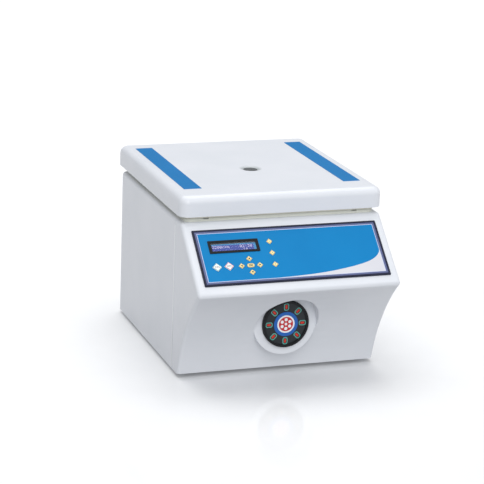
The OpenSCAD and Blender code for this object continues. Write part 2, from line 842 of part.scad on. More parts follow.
// Pawls that enter the hooks, and the lever that the solenoid lifts
module lock_pawls() {
    color("goldenrod") {
        for (s = [-1, 1]) translate([s * hook_span / 2 - 3, lock_y, lock_z])
            rotate([90, 0, 90]) linear_extrude(6) difference() {
                union() {
                    circle(6);
                    polygon([[-5.9, 1], [-3.5, 14.7], [0, 17.2], [7.6, 15.8], [7.6, 13.2],
                        [2.5, 11.7], [5.8, 1.5]]);
                }
                circle(lock_shaft_r + seat_gap);
            }
        translate([lever_x - 2, lock_y, lock_z]) rotate([90, 0, 90]) linear_extrude(4) difference() {
            union() {
                circle(5.5);
                translate([-lever_len - 2.5, -2]) square([lever_len + 2.5, 4]);
            }
            circle(lock_shaft_r + seat_gap);
        }
    }
}

// Pull-in magnet that turns the lock shaft, hung on two straps that pass behind the shaft
module lock_solenoid() {
    top = lock_z - 9;
    strap_y = lever_len + lock_shaft_r + 0.5;
    strap_w = 5;
    strap_t = 1.5;
    color("dimgray") translate([lever_x, lock_y - lever_len, 0]) difference() {
        union() {
            translate([-solenoid_w / 2, -solenoid_w / 2, top - solenoid_h])
                cube([solenoid_w, solenoid_w, solenoid_h]);
            translate([-solenoid_w / 2, 0, top - 5]) cube([solenoid_w, strap_y + strap_t, 5]);
            for (s = [-1, 1]) translate([s * (solenoid_w - strap_w) / 2 - strap_w / 2, strap_y, 0]) {
                translate([0, 0, top - 5])
                    cube([strap_w, strap_t, top_z - case_wall - top + 5]);
                translate([0, 0, top_z - case_wall - strap_t]) cube([strap_w, 8, strap_t]);
            }
        }
        translate([0, 0, top - 22]) cylinder(r = 4 + run_fit, h = 30);
    }
}

module solenoid_plunger() {
    top = lock_z - 2 - 0.5;
    color("silver") translate([lever_x, lock_y - lever_len, 0]) {
        translate([0, 0, top - 3]) sphere(3);
        translate([0, 0, top - 26]) cylinder(r = 4, h = 19.5);
        translate([0, 0, top - 7]) cylinder(r = 3, h = 4);
    }
}

// Ribbed can of the motor
module motor_housing() {
    body_h = motor_h - endcap_h;
    color("dimgray") translate([0, rotor_y, motor_z]) difference() {
        union() {
            cylinder(r = motor_r - 4, h = body_h);
            cylinder(r = motor_r, h = 8);
            translate([0, 0, body_h - 6]) cylinder(r = motor_r, h = 6);
            for (i = [0:23]) rotate([0, 0, i * 15])
                translate([motor_r - 6, -1.2, 4]) cube([5.5, 2.4, body_h - 8]);
        }
        translate([0, 0, 6]) cylinder(r = motor_r - 12, h = body_h);
        translate([0, 0, -over]) cylinder(r = bearing_r - 6, h = 10);
        translate([0, 0, 2]) cylinder(r = bearing_r + seat_gap, h = bearing_h);
    }
}

module motor_endcap() {
    color("silver") translate([0, rotor_y, motor_top_z - endcap_h]) difference() {
        union() {
            cylinder(r = motor_r, h = 5);
            rotate_extrude() polygon([[0, 4], [motor_r - 6, 4], [bearing_r + 8, endcap_h],
                [0, endcap_h]]);
        }
        translate([0, 0, -over]) cylinder(r = bearing_r + seat_gap, h = over + bearing_h);
        translate([0, 0, -over]) cylinder(r = bearing_r - 5, h = endcap_h + 2 * over);
    }
}

// Two deep-groove ball bearings, drawn as plain rings
module motor_bearings() {
    color("lightgray") for (z = [motor_z + 2, motor_top_z - endcap_h])
        translate([0, rotor_y, z]) difference() {
            cylinder(r = bearing_r, h = bearing_h);
            translate([0, 0, -over]) cylinder(r = shaft_r + run_fit, h = bearing_h + 2 * over);
        }
}

// Shaft with the motor's rotor pack and the threaded end for the rotor nut
module motor_shaft() {
    color("silver") translate([0, rotor_y, 0]) {
        translate([0, 0, motor_z + 3]) cylinder(r = shaft_r, h = hub_top_z - motor_z - 3);
        translate([0, 0, motor_z + 16]) cylinder(r = motor_r - 16, h = motor_h - endcap_h - 22);
        translate([0, 0, hub_top_z - over]) cylinder(r = shaft_r - 2, h = 10);
    }
}

// Plate that carries the motor on its rubber mounts
module motor_plate() {
    r = motor_r + 14;
    color("silver") translate([0, rotor_y, motor_z - motor_plate_t]) difference() {
        union() {
            cylinder(r = motor_r + 2, h = motor_plate_t);
            for (a = [45:90:315]) rotate([0, 0, a]) {
                translate([0, -10, 0]) cube([r, 20, motor_plate_t]);
                translate([r, 0, 0]) cylinder(r = 10, h = motor_plate_t);
            }
        }
        translate([0, 0, -over]) cylinder(r = bearing_r - 6, h = motor_plate_t + 2 * over);
        for (a = [45:90:315]) rotate([0, 0, a]) translate([r, 0, -over])
            cylinder(r = 3 + 2 * seat_gap, h = motor_plate_t + 2 * over);
    }
}

module motor_dampers() {
    r = motor_r + 14;
    color("dimgray") translate([0, rotor_y, sump_z])
    for (a = [45:90:315]) rotate([0, 0, a]) translate([r, 0, 0]) {
        rotate_extrude() difference() {
            square([9, damper_h]);
            translate([13, damper_h / 2]) circle(6.5);
        }
        translate([0, 0, damper_h]) cylinder(r = 3, h = motor_plate_t);
        translate([0, 0, damper_h + motor_plate_t]) cylinder(r = 5.5, h = 3, $fn = 6);
    }
}

// Rubber bellows between the motor and the bowl's neck
module shaft_boot() {
    low = motor_top_z;
    high = bowl_floor_z - bowl_t;
    wall = 2;
    inner = bearing_r + 1;
    folds = 2;
    collar_h = 3;
    pitch = (high - low - 2 * collar_h) / folds;
    color("dimgray") translate([0, rotor_y, low]) rotate_extrude() {
        translate([inner, 0]) square([5, collar_h]);
        for (i = [0:folds - 1]) translate([inner, collar_h + i * pitch]) polygon([
            [0, -0.1], [wall, -0.1], [wall + 4, pitch / 2], [wall, pitch + 0.1],
            [0, pitch + 0.1], [4, pitch / 2]]);
        translate([inner, high - low - collar_h]) square([neck_r + 4 - inner, collar_h]);
    }
}

// Motor controller: board, heat sink and capacitors on standoffs
module drive_board() {
    w = 54;
    d = 112;
    stand_h = 8;
    sink_w = 34;
    top = stand_h + board_t - 0.1;
    color("darkgreen") translate([case_w / 2 - case_wall - 13 - w, rear_y - 38 - d, sump_z]) {
        translate([0, 0, stand_h]) cube([w, d, board_t]);
        for (x = [5, w - 5], y = [5, d - 5]) translate([x, y, 0]) cylinder(r = 3, h = stand_h + 0.2);
        translate([6, 12, top]) {
            cube([sink_w, 60, 4]);
            for (i = [0:7]) translate([0, i * 8, 3]) cube([sink_w, 2.5, 20]);
        }
        for (i = [0:2]) translate([16 + i * 13, d - 18, top]) cylinder(r = 5.5, h = 26);
    }
}

// Hub, cross web and the two arched side bars of the rotor
module rotor_yoke() {
    color("gainsboro") translate([0, rotor_y, pivot_z]) difference() {
        union() {
            translate([0, 0, -9]) cylinder(r = web_half + 1, h = 18);
            translate([0, 0, 5]) cylinder(r = 13.5, h = hub_top_z - pivot_z - 5);
            for (s = [-1, 1]) {
                translate([-web_half, s > 0 ? 0 : -bar_out_y + 1, -8])
                    cube([2 * web_half, bar_out_y - 1, 3.5]);
                translate([-web_half, s > 0 ? 0 : -bar_out_y + 1, 4.5])
                    cube([2 * web_half, bar_out_y - 1, 3.5]);
                translate([-3, s > 0 ? 0 : -bar_out_y + 1, -8]) cube([6, bar_out_y - 1, 16]);
                translate([0, s > 0 ? bar_out_y : -bar_in_y, 0]) rotate([90, 0, 0])
                    linear_extrude(bar_t) side_bar();
            }
        }
        translate([0, 0, -20]) cylinder(r = shaft_r, h = 60);
        for (x = [-1, 1]) translate([x * pivot_r, -100, 0]) rotate([-90, 0, 0])
            cylinder(r = trunnion_r, h = 200);
    }
}

// Outline of a side bar: deep at the hub, round at the trunnions
module side_bar() {
    deep = 14;
    difference() {
        union() {
            polygon([[-pivot_r, -bar_end_r], [-16, -deep], [16, -deep], [pivot_r, -bar_end_r],
                [pivot_r, bar_end_r], [16, deep], [-16, deep], [-pivot_r, bar_end_r]]);
            for (s = [-1, 1]) translate([s * pivot_r, 0]) circle(bar_end_r);
        }
        for (s = [-1, 1]) translate([s * 31, 0]) slot(26, 11);
    }
}

// Pins pressed into the side bars, on which the carriers swing
module trunnion_pins() {
    color("silver") translate([0, rotor_y, pivot_z])
    for (x = [-1, 1], y = [-1, 1])
        translate([x * pivot_r, y > 0 ? bar_out_y : -bar_out_y, 0])
            rotate([y > 0 ? 90 : -90, 0, 0]) {
                cylinder(r = trunnion_r, h = bar_t + 1.5 + ear_t + 1);
                translate([0, 0, -1.5]) cylinder(r = trunnion_r + 1.5, h = 1.5);
            }
}

// Star knob that clamps the rotor on the shaft
module rotor_nut() {
    color("dimgray") translate([0, rotor_y, hub_top_z]) difference() {
        union() {
            cylinder(r = 12, h = 9);
            for (a = [0:45:315]) rotate([0, 0, a]) translate([11, 0, 0]) cylinder(r = 3, h = 9);
            cylinder(r = 8, h = 12);
        }
        translate([0, 0, -over]) cylinder(r = shaft_r - 2 + seat_gap, h = 10 + over);
    }
}

// A microplate carrier, drawn hanging from its trunnions at the origin
module carrier() {
    wall_low = -carrier_drop - carrier_t;
    difference() {
        union() {
            // Floor with its two long lips
            translate([-carrier_half_x, -ear_out_y, wall_low])
                cube([2 * carrier_half_x, 2 * ear_out_y, carrier_t]);
            for (s = [-1, 1])
                translate([s > 0 ? carrier_half_x - carrier_t : -carrier_half_x, -ear_out_y, wall_low])
                    cube([carrier_t, 2 * ear_out_y, tray_wall_h + carrier_t]);
            // Ears: wide at the floor, narrow round the trunnion
            for (s = [-1, 1]) translate([0, s > 0 ? ear_out_y : -tray_half_y, 0])
                rotate([90, 0, 0]) linear_extrude(ear_t) difference() {
                    union() {
                        polygon([[-carrier_half_x, wall_low], [carrier_half_x, wall_low],
                            [carrier_half_x, wall_low + tray_wall_h + carrier_t],
                            [9, 0], [-9, 0], [-carrier_half_x, wall_low + tray_wall_h + carrier_t]]);
                        circle(9);
                    }
                    for (k = [-1, 1]) translate([k * 18, -20]) circle(5);
                }
        }
        // Trunnion bores, open slots in the floor
        translate([0, -100, 0]) rotate([-90, 0, 0]) cylinder(r = trunnion_r + run_fit, h = 200);
        for (x = [-1, 0, 1], y = [-1, 1])
            translate([x * 24, y * 30, wall_low - over]) linear_extrude(carrier_t + 2 * over)
                rotate(90) slot(40, 10);
    }
}

module carrier_left() {
    color("silver") translate([-pivot_r, rotor_y, pivot_z]) carrier();
}

module carrier_right() {
    color("silver") translate([pivot_r, rotor_y, pivot_z]) carrier();
}

// Rubber mat on a carrier's floor, ribbed so that a plate lifts off it
module carrier_mat() {
    w = 2 * carrier_half_x - 2 * carrier_t - 1;
    d = 2 * tray_half_y - 1;
    translate([0, 0, -carrier_drop]) {
        linear_extrude(mat_t / 2) rounded_rect(w, d, 2);
        for (i = [-5:5]) translate([-w / 2 + 2, i * 11 - 1, 0]) cube([w - 4, 2, mat_t]);
    }
}

module carrier_mat_left() {
    color("dimgray") translate([-pivot_r, rotor_y, pivot_z]) carrier_mat();
}

module carrier_mat_right() {
    color("dimgray") translate([pivot_r, rotor_y, pivot_z]) carrier_mat();
}

// Frame round the keypad plate, bevelled towards it
module panel_bezel() {
    color("midnightblue") on_slope(0, panel_mid) difference() {
        union() {
            linear_extrude(bezel_t - 0.6) rounded_rect(bezel_w, bezel_h, 1.5);
            linear_extrude(bezel_t) rounded_rect(bezel_w - 1.2, bezel_h - 1.2, 1);
        }
        translate([0, 0, -over]) linear_extrude(bezel_t + 2 * over)
            square([plate_w_out, plate_h_out], center = true);
    }
}

// Places and outlines of the keys: x, distance down the slope
big_keys = [[panel_left + 26.85, 84.9], [panel_left + 46.45, 84.5]];
pad_mid = [panel_left + 81.65, 85.2];
pad_step = [15, 12.4];
set_x = panel_left + 121.75;
set_down = [43.6, 64.7, 85.9];

module diamond(side) { rotate(45) square(side, center = true); }

module all_key_outlines(grow) {
    for (p = big_keys) translate([p[0], -p[1]]) diamond(key_big + 2 * grow);
    translate([pad_mid[0], -pad_mid[1]]) {
        slot(key_small + enter_len + 2 * grow, key_small + 2 * grow);
        for (s = [-1, 1]) {
            translate([s * pad_step[0], 0]) diamond(key_small + 2 * grow);
            translate([0, s * pad_step[1]]) diamond(key_small + 2 * grow);
        }
    }
    for (d = set_down) translate([set_x, -d]) diamond(key_small + 2 * grow);
}

// Stiff plate under the printed overlay, with studs for the board
module keypad_plate() {
    color("dodgerblue") {
        on_slope() linear_extrude(plate_t) difference() {
            translate([0, -panel_mid]) square([plate_w_out, plate_h_out], center = true);
            all_key_outlines(key_gap);
            translate([lcd_pos[0], -lcd_pos[1]]) square([lcd_w - 2, lcd_h - 2], center = true);
        }
        board_studs() {
            translate([0, 0, -board_depth]) cylinder(r = 3, h = board_depth + 0.2);
            translate([0, 0, -board_depth - 5]) cylinder(r = 1.5, h = 6);
        }
    }
}

module board_studs() {
    stud_x = window_w / 2 - 4.5;
    for (x = [-stud_x, -0.15 * stud_x, 0.43 * stud_x, stud_x], d = [panel_mid - 35, panel_mid + 35])
        on_slope(x, d) children();
}

module lcd_frame() {
    color("black") on_slope(lcd_pos[0], lcd_pos[1]) difference() {
        union() {
            translate([0, 0, plate_t]) linear_extrude(1.2) rounded_rect(lcd_w, lcd_h, 1);
            translate([0, 0, -1]) linear_extrude(plate_t + 1.5)
                square([lcd_w - 2.2, lcd_h - 2.2], center = true);
        }
        translate([0, 0, -2]) linear_extrude(8) square([lcd_open_w, lcd_open_h], center = true);
        translate([0, 0, -2]) linear_extrude(2 + plate_t)
            square([lcd_open_w + 1.4, lcd_open_h + 1.4], center = true);
    }
}

module lcd_window() {
    color("lightcyan", 0.5) on_slope(lcd_pos[0], lcd_pos[1]) translate([0, 0, plate_t - 1])
        linear_extrude(1) square([lcd_open_w + 1.4, lcd_open_h + 1.4], center = true);
}

// Display cell with its metal frame, on the control board
module lcd_module() {
    color("navy") on_slope(lcd_pos[0], lcd_pos[1]) {
        translate([0, 0, -board_depth]) linear_extrude(board_depth - 1.2)
            square([lcd_w - 3, lcd_h + 9], center = true);
        translate([0, 0, -board_depth]) linear_extrude(board_depth + plate_t - 1)
            square([lcd_open_w + 1, lcd_open_h + 1], center = true);
    }
}

// Board behind the keypad, with a switch under each key
module control_board() {
    stem_top = -key_flange_t - 0.4 - key_travel - 0.4;
    color("darkgreen") {
        difference() {
            on_slope(0, panel_mid) translate([0, 0, -board_depth - board_t])
                linear_extrude(board_t) square([window_w - 3, window_h - 3], center = true);
            board_studs() translate([0, 0, -board_depth - 4]) cylinder(r = 1.6, h = 6);
        }
        all_keys() {
            translate([0, 0, -board_depth - 0.1]) linear_extrude(3.6) square(6, center = true);
            translate([0, 0, -board_depth]) cylinder(r = 1.6, h = board_depth + stem_top);
        }
        on_slope(90, panel_mid) translate([-18, -12, -board_depth - 14])
            cube([36, 24, 13]);
        on_slope(30, panel_mid) translate([-10, -16, -board_depth - 7])
            cube([20, 32, 6]);
    }
}

// Stands its children under every key in turn
module all_keys() {
    for (p = big_keys) on_slope(p[0], p[1]) children();
    on_slope(pad_mid[0], pad_mid[1]) children();
    for (s = [-1, 1]) {
        on_slope(pad_mid[0] + s * pad_step[0], pad_mid[1]) children();
        on_slope(pad_mid[0], pad_mid[1] + s * pad_step[1]) children();
    }
    for (d = set_down) on_slope(set_x, d) children();
}

// A diamond key with a low bevelled top and a flange that keeps it in
module diamond_key(x, down, side) {
    on_slope(x, down) {
        translate([0, 0, -0.4 - key_flange_t]) linear_extrude(key_flange_t)
            diamond(side + 2 * key_flange);
        translate([0, 0, -0.5]) linear_extrude(plate_t + key_proud + 0.1) diamond(side);
        translate([0, 0, plate_t + key_proud - 0.5]) linear_extrude(0.5) diamond(side - 0.8);
    }
}

module key_start() { color("white") diamond_key(big_keys[0][0], big_keys[0][1], key_big); }

module key_stop() { color("white") diamond_key(big_keys[1][0], big_keys[1][1], key_big); }

module pad_key(dx, dy) {
    color("moccasin")
        diamond_key(pad_mid[0] + dx * pad_step[0], pad_mid[1] + dy * pad_step[1], key_small);
}

module key_enter() {
    color("moccasin") on_slope(pad_mid[0], pad_mid[1]) {
        translate([0, 0, -0.4 - key_flange_t]) linear_extrude(key_flange_t)
            slot(key_small + enter_len + 2, key_small + 2);
        translate([0, 0, -0.5]) linear_extrude(plate_t + key_proud + 0.4)
            slot(key_small + enter_len, key_small);
    }
}

module set_key(i) { color("moccasin") diamond_key(set_x, set_down[i], key_small); }

// Black ring round the badge
module badge_rim() {
    ring = badge_ring_w;
    color("black") translate([0, socket_y, badge_z]) rotate([90, 0, 0]) rotate_extrude() {
        translate([badge_r - ring, 0]) square([ring, badge_t - 1.5]);
        translate([badge_r - ring, 0]) square([ring - 1.5, badge_t]);
        translate([badge_r - 1.5, badge_t - 1.5]) circle(1.5, $fn = 32);
    }
}

// Badge face with a raised middle and a ring of tube-shaped recesses
module badge_face() {
    face_r = badge_r - badge_ring_w - seat_gap;
    face_t = badge_t - 2;
    color("darkslategray") translate([0, socket_y, badge_z]) rotate([90, 0, 0]) difference() {
        union() {
            cylinder(r = face_r, h = face_t);
            cylinder(r = face_r / 2, h = face_t + 0.8);
        }
        for (i = [0:mark_count - 1]) rotate([0, 0, i * 360 / mark_count])
            translate([0, marks_r, face_t - 0.8]) linear_extrude(2) rotate(90) slot(9, 5.2);
    }
}

// Sheet pan with upturned edges that closes the casing below
module base_pan() {
    w = case_w - 2 * case_wall - 0.4;
    front = foot_y + case_wall + 0.4;
    d = rear_y - case_wall - 0.2 - front;
    mid = front + d / 2;
    color("silver") difference() {
        translate([0, mid, base_z]) linear_extrude(pan_lip) rounded_rect(w, d, rear_corner_r - case_wall);
        translate([0, mid, base_z + pan_t]) linear_extrude(pan_lip)
            rounded_rect(w - 2 * pan_t, d - 2 * pan_t, rear_corner_r - case_wall - pan_t);
        foot_places() translate([0, 0, base_z - over]) cylinder(r = 2.6, h = pan_t + 2 * over);
        // Air inlet slots under the motor
        for (i = [-6:6]) translate([i * 8, rotor_y, base_z - over])
            linear_extrude(pan_t + 2 * over) rotate(90) slot(50, 3.5);
    }
}

module foot_places() {
    for (x = [-1, 1], y = [foot_y + 34, rear_y - 30])
        translate([x * (case_w / 2 - 32), y, 0]) children();
}

module rubber_feet() {
    color("dimgray") foot_places() difference() {
        rotate_extrude() polygon([[0, 0], [foot_r - 1.5, 0], [foot_r, 1.5], [foot_r - 1, foot_h],
            [0, foot_h]]);
        translate([0, 0, -over]) cylinder(r = 5.5, h = foot_h / 2 + over);
        cylinder(r = 2.6, h = foot_h + over);
    }
}

module foot_screws() {
    color("silver") foot_places() {
        translate([0, 0, foot_h / 2 - 2]) cylinder(r = 5, h = 2);
        translate([0, 0, foot_h / 2 - 0.1]) cylinder(r = 2.5, h = foot_h / 2 + pan_t + 6);
        translate([0, 0, sump_z]) cylinder(r = 4.6, h = 4, $fn = 6);
    }
}

base_pan();
side_casing();
front_shell();
top_deck();
chamber_bowl();
bowl_gasket();
rim_gasket();
rubber_feet();
foot_screws();
case_screws();
lid_cover();
lid_liner();
port_window();
port_sleeve();
lid_bands();
lid_hooks();
liner_screws();
hinge_brackets();
hinge_leaves();
hinge_pins();
lock_brackets();
lock_shaft();
lock_pawls();
lock_solenoid();
solenoid_plunger();
motor_housing();
motor_endcap();
motor_bearings();
motor_shaft();
motor_plate();
motor_dampers();
shaft_boot();
drive_board();
rotor_yoke();
trunnion_pins();
rotor_nut();
carrier_left();
carrier_right();
carrier_mat_left();
carrier_mat_right();
panel_bezel();
keypad_plate();
lcd_frame();
lcd_window();
lcd_module();
control_board();
key_start();
key_stop();
pad_key(-1, 0);  // key_left
pad_key(0, -1);  // key_up
key_enter();
pad_key(0, 1);  // key_down
pad_key(1, 0);  // key_right
set_key(0);  // key_set_1
set_key(1);  // key_set_2
set_key(2);  // key_set_3
badge_rim();
badge_face();
power_inlet();
power_rocker();
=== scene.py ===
# A bench centrifuge with a hinged lid, dressed round its CAD frame, in the frame's own axes: +X to
# the right seen from the front, +Y to the rear, +Z up, the origin on the bench. Lengths are in
# metres where no comment says millimetres.
import math

import bmesh
import bpy
from mathutils import Matrix, Vector


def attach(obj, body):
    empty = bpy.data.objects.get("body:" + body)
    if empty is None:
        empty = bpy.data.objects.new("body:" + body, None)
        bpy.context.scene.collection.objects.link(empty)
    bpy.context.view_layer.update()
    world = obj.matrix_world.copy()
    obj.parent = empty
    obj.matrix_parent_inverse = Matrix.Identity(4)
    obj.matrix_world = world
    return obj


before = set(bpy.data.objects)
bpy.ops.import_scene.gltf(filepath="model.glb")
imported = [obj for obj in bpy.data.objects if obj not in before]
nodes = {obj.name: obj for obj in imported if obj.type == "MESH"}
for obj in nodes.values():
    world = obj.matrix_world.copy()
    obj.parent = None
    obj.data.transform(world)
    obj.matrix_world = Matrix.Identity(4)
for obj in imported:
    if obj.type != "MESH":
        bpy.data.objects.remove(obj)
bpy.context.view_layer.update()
scene = bpy.context.scene
MM = 0.001


# Camera, studio floor and lights -----------------------------------------------------------------
# The camera stands where the photographer's stood, in front, a little to the left and above, with
# a slight roll. A pale floor, a pale surround and large soft boxes give a catalogue's even light.
CAMERA_AT = Vector((-1.012738, -2.776672, 1.030691))
CAMERA_TURN, CAMERA_RISE, CAMERA_ROLL = (math.radians(a) for a in (-19.691, 16.134, 2.231))
LENS_MM, SENSOR_MM = 138.15, 36.0
NEAREST, FARTHEST = 0.05, 60.0

back = Vector((math.sin(CAMERA_TURN) * math.cos(CAMERA_RISE),
               -math.cos(CAMERA_TURN) * math.cos(CAMERA_RISE), math.sin(CAMERA_RISE)))
level = (-back).cross(Vector((0, 0, 1))).normalized()
upright = level.cross(-back)
right = level * math.cos(CAMERA_ROLL) + upright * math.sin(CAMERA_ROLL)
above = upright * math.cos(CAMERA_ROLL) - level * math.sin(CAMERA_ROLL)
camera = bpy.data.objects.new("camera", bpy.data.cameras.new("camera"))
camera.data.lens, camera.data.sensor_width = LENS_MM, SENSOR_MM
camera.data.clip_start, camera.data.clip_end = NEAREST, FARTHEST
turn = Matrix((right, above, back)).transposed().to_4x4()
camera.matrix_world = Matrix.Translation(CAMERA_AT) @ turn
scene.collection.objects.link(camera)
scene.camera = camera
scene.view_settings.view_transform = "Standard"


def linear(hex_code):
    """An sRGB hex value as the linear colour that a node's socket takes."""
    parts = [int(hex_code[i:i + 2], 16) / 255 for i in (1, 3, 5)]
    curved = (c / 12.92 if c <= 0.04045 else ((c + 0.055) / 1.055) ** 2.4 for c in parts)
    return (*curved, 1.0)


def add(tree, kind, inputs=None, **settings):
    """Adds a node; an input's value is a constant or the socket that feeds it."""
    node = tree.nodes.new(kind)
    for name, value in settings.items():
        setattr(node, name, value)
    for name, value in (inputs or {}).items():
        if isinstance(value, bpy.types.NodeSocket):
            tree.links.new(value, node.inputs[name])
        else:
            node.inputs[name].default_value = value
    return node


def new_material(name):
    """An empty material and its tree."""
    mat = bpy.data.materials.new(name)
    mat.use_nodes = True
    mat.node_tree.nodes.clear()
    return mat, mat.node_tree


def close(tree, surface):
    """Joins the shader to the material's output."""
    add(tree, "ShaderNodeOutputMaterial", {"Surface": surface.outputs[0]})


# The middle part of a noise's values, for a colour and for the gloss of a coat
BAND = {"From Min": 0.3, "From Max": 0.7}
GLOSS_BAND = {"From Min": 0.25, "From Max": 0.75}
# A coat's mottling per metre, the share by which its gloss varies, and the strength of its relief
MOTTLE_SCALE, GLOSS_SPREAD, RELIEF_STRENGTH = 14.0, 0.12, 0.35
RIM_SAMPLES = 4


def two_tones(tree, noise, base, shade):
    """A colour that drifts between two tones as a noise does."""
    tone = add(tree, "ShaderNodeMapRange", {"Value": noise, **BAND})
    return blend(tree, tone.outputs[0], linear(base), linear(shade))


def blend(tree, factor, first, second):
    """Two colours mixed by a factor."""
    return add(tree, "ShaderNodeMix", {0: factor, 6: first, 7: second}, data_type="RGBA").outputs[2]


def coated(name, base, shade, rough=0.4, cell=1.6, depth=0.02, edge=0.0, dish_shade=None, **sockets):
    """A coat or moulding: faint mottling between two tones, and a fine relief.

    cell is the relief's grain, depth its height and edge the rounding that the eye sees on a
    piece's rims, all in millimetres. dish_shade is a round hollow's middle, inner and outer
    radius, in metres, and a darker colour painted within it as shade. sockets are further inputs
    of the shader.
    """
    mat, tree = new_material(name)
    where = add(tree, "ShaderNodeTexCoord").outputs["Object"]
    broad = add(tree, "ShaderNodeTexNoise", {"Vector": where, "Scale": MOTTLE_SCALE, "Detail": 3.0})
    fine = add(tree, "ShaderNodeTexNoise",
               {"Vector": where, "Scale": 1 / (cell * MM), "Detail": 2.0})
    colour = two_tones(tree, broad.outputs["Fac"], base, shade)
    if dish_shade:
        middle, inner, outer, hollow = dish_shade
        flat = add(tree, "ShaderNodeVectorMath", {0: where, 1: (1, 1, 0)}, operation="MULTIPLY")
        away = add(tree, "ShaderNodeVectorMath", {0: flat.outputs[0], 1: (*middle, 0)},
                   operation="DISTANCE")
        # Painted shade in the dish: the darker colour within the inner radius, fading to the coat's
        # by the outer
        fade = add(tree, "ShaderNodeMapRange",
                   {"Value": away.outputs["Value"], "From Min": inner, "From Max": outer},
                   interpolation_type="SMOOTHSTEP")
        colour = blend(tree, fade.outputs[0], linear(hollow), colour)
    gloss = add(tree, "ShaderNodeMapRange",
                {"Value": fine.outputs["Fac"], **GLOSS_BAND, "To Min": rough * (1 - GLOSS_SPREAD),
                 "To Max": min(1.0, rough * (1 + GLOSS_SPREAD))})
    relief = {"Height": fine.outputs["Fac"], "Strength": RELIEF_STRENGTH, "Distance": depth * MM}
    if edge:
        relief["Normal"] = add(tree, "ShaderNodeBevel", {"Radius": edge * MM},
                               samples=RIM_SAMPLES).outputs[0]
    bump = add(tree, "ShaderNodeBump", relief)
    values = {"Base Color": colour, "Roughness": gloss.outputs[0], "Normal": bump.outputs[0]}
    close(tree, add(tree, "ShaderNodeBsdfPrincipled", {**values, **sockets}))
    return mat


FLOOR_HALF = 14.0
corners = ((-1, -1), (1, -1), (1, 1), (-1, 1))
floor_mesh = bpy.data.meshes.new("studio_floor")
floor_mesh.from_pydata([(x * FLOOR_HALF, y * FLOOR_HALF, 0) for x, y in corners],
                       [], [(0, 1, 2, 3)])
floor = bpy.data.objects.new("studio_floor", floor_mesh)
scene.collection.objects.link(floor)
# Polished white acrylic sheet with a weak reflection, kept nearly white by a painted glow. The
# glow grows from the first strength to the second between two distances, so the floor near the
# centrifuge stays dimmer and its shadow there is deepened: painted shade.
GLOW_NEAR, GLOW_FAR, GLOW_LOW, GLOW_HIGH = 0.6, 3.0, 0.1, 0.5
acrylic = coated("white_acrylic_sheet", "#F6F7F8", "#F4F5F6", rough=0.07, cell=60, depth=0.0,
                 **{"Specular IOR Level": 0.3, "Emission Color": linear("#FFFFFF")})
sheet = acrylic.node_tree
on_sheet = add(sheet, "ShaderNodeTexCoord").outputs["Object"]
from_middle = add(sheet, "ShaderNodeVectorMath", {0: on_sheet}, operation="LENGTH")
# Painted glow of the floor, weaker near the centrifuge, which deepens its shadow as painted shade
painted_glow = add(sheet, "ShaderNodeMapRange",
                {"Value": from_middle.outputs["Value"], "From Min": GLOW_NEAR,
                 "From Max": GLOW_FAR, "To Min": GLOW_LOW, "To Max": GLOW_HIGH})
surface = next(node for node in sheet.nodes if node.bl_idname == "ShaderNodeBsdfPrincipled")
sheet.links.new(painted_glow.outputs[0], surface.inputs["Emission Strength"])
floor_mesh.materials.append(acrylic)
floor.visible_diffuse = False

world = bpy.data.worlds.new("studio")
world.use_nodes = True
world.node_tree.nodes.clear()
surround = add(world.node_tree, "ShaderNodeBackground",
               {"Color": linear("#FBFCFF"), "Strength": 0.52})
add(world.node_tree, "ShaderNodeOutputWorld", {"Surface": surround.outputs[0]})
scene.world = world

# Soft boxes: name, place, size in metres and power in watts; all are turned to the object's middle
LIT_POINT = Vector((0, 0, 0.12))
SOFT_BOXES = [
    ("overhead_box", (0.1, 0.8, 3.0), 3.0, 52),
    ("front_box", (-0.8, -3.6, 2.2), 3.2, 98),
    ("right_box", (2.8, -0.8, 1.4), 2.0, 10),
    ("floor_box", (-0.2, 0.3, 3.0), 2.4, 24),
]
# The boxes in front and on the right are flagged off the floor, so the centrifuge keeps its shadow;
# the floor box lights nothing but the floor
flagged, floor_only = (bpy.data.collections.new(name) for name in ("flagged_floor", "floor_only"))
for collection, state in ((flagged, "EXCLUDE"), (floor_only, "INCLUDE")):
    collection.objects.link(floor)
    collection.collection_objects[0].light_linking.link_state = state
RECEIVERS = {"front_box": flagged, "right_box": flagged, "floor_box": floor_only}
for name, place, size, power in SOFT_BOXES:
    lamp = bpy.data.lights.new(name, "AREA")
    lamp.size, lamp.energy = size, power
    lamp_object = bpy.data.objects.new(name, lamp)
    lamp_object.location = place
    lamp_object.visible_camera = False
    lamp_object.light_linking.receiver_collection = RECEIVERS.get(name)
    lamp_object.rotation_euler = (LIT_POINT - Vector(place)).to_track_quat("-Z", "Y").to_euler()
    scene.collection.objects.link(lamp_object)


# Casing: moulded front, side casing and deck -----------------------------------------------------
# The front is a glass-fibre moulding and the rest a folded casing; both are sprayed with the same
# white two-part paint, whose orange peel shows only in the highlights.

# Points of a CAD mesh nearer than this are one
CAD_WELD = 2e-6


def new_tree(name, inputs):
    """An empty geometry tree that takes and gives a mesh, and its input node.

    inputs gives the kind of socket for the name of each further input.
    """
    tree = bpy.data.node_groups.new(name, "GeometryNodeTree")
    for socket, kind in {"Geometry": "Geometry", **inputs}.items():
        tree.interface.new_socket(socket, in_out="INPUT", socket_type="NodeSocket" + kind)
    tree.interface.new_socket("Geometry", in_out="OUTPUT", socket_type="NodeSocketGeometry")
    return tree, add(tree, "NodeGroupInput")


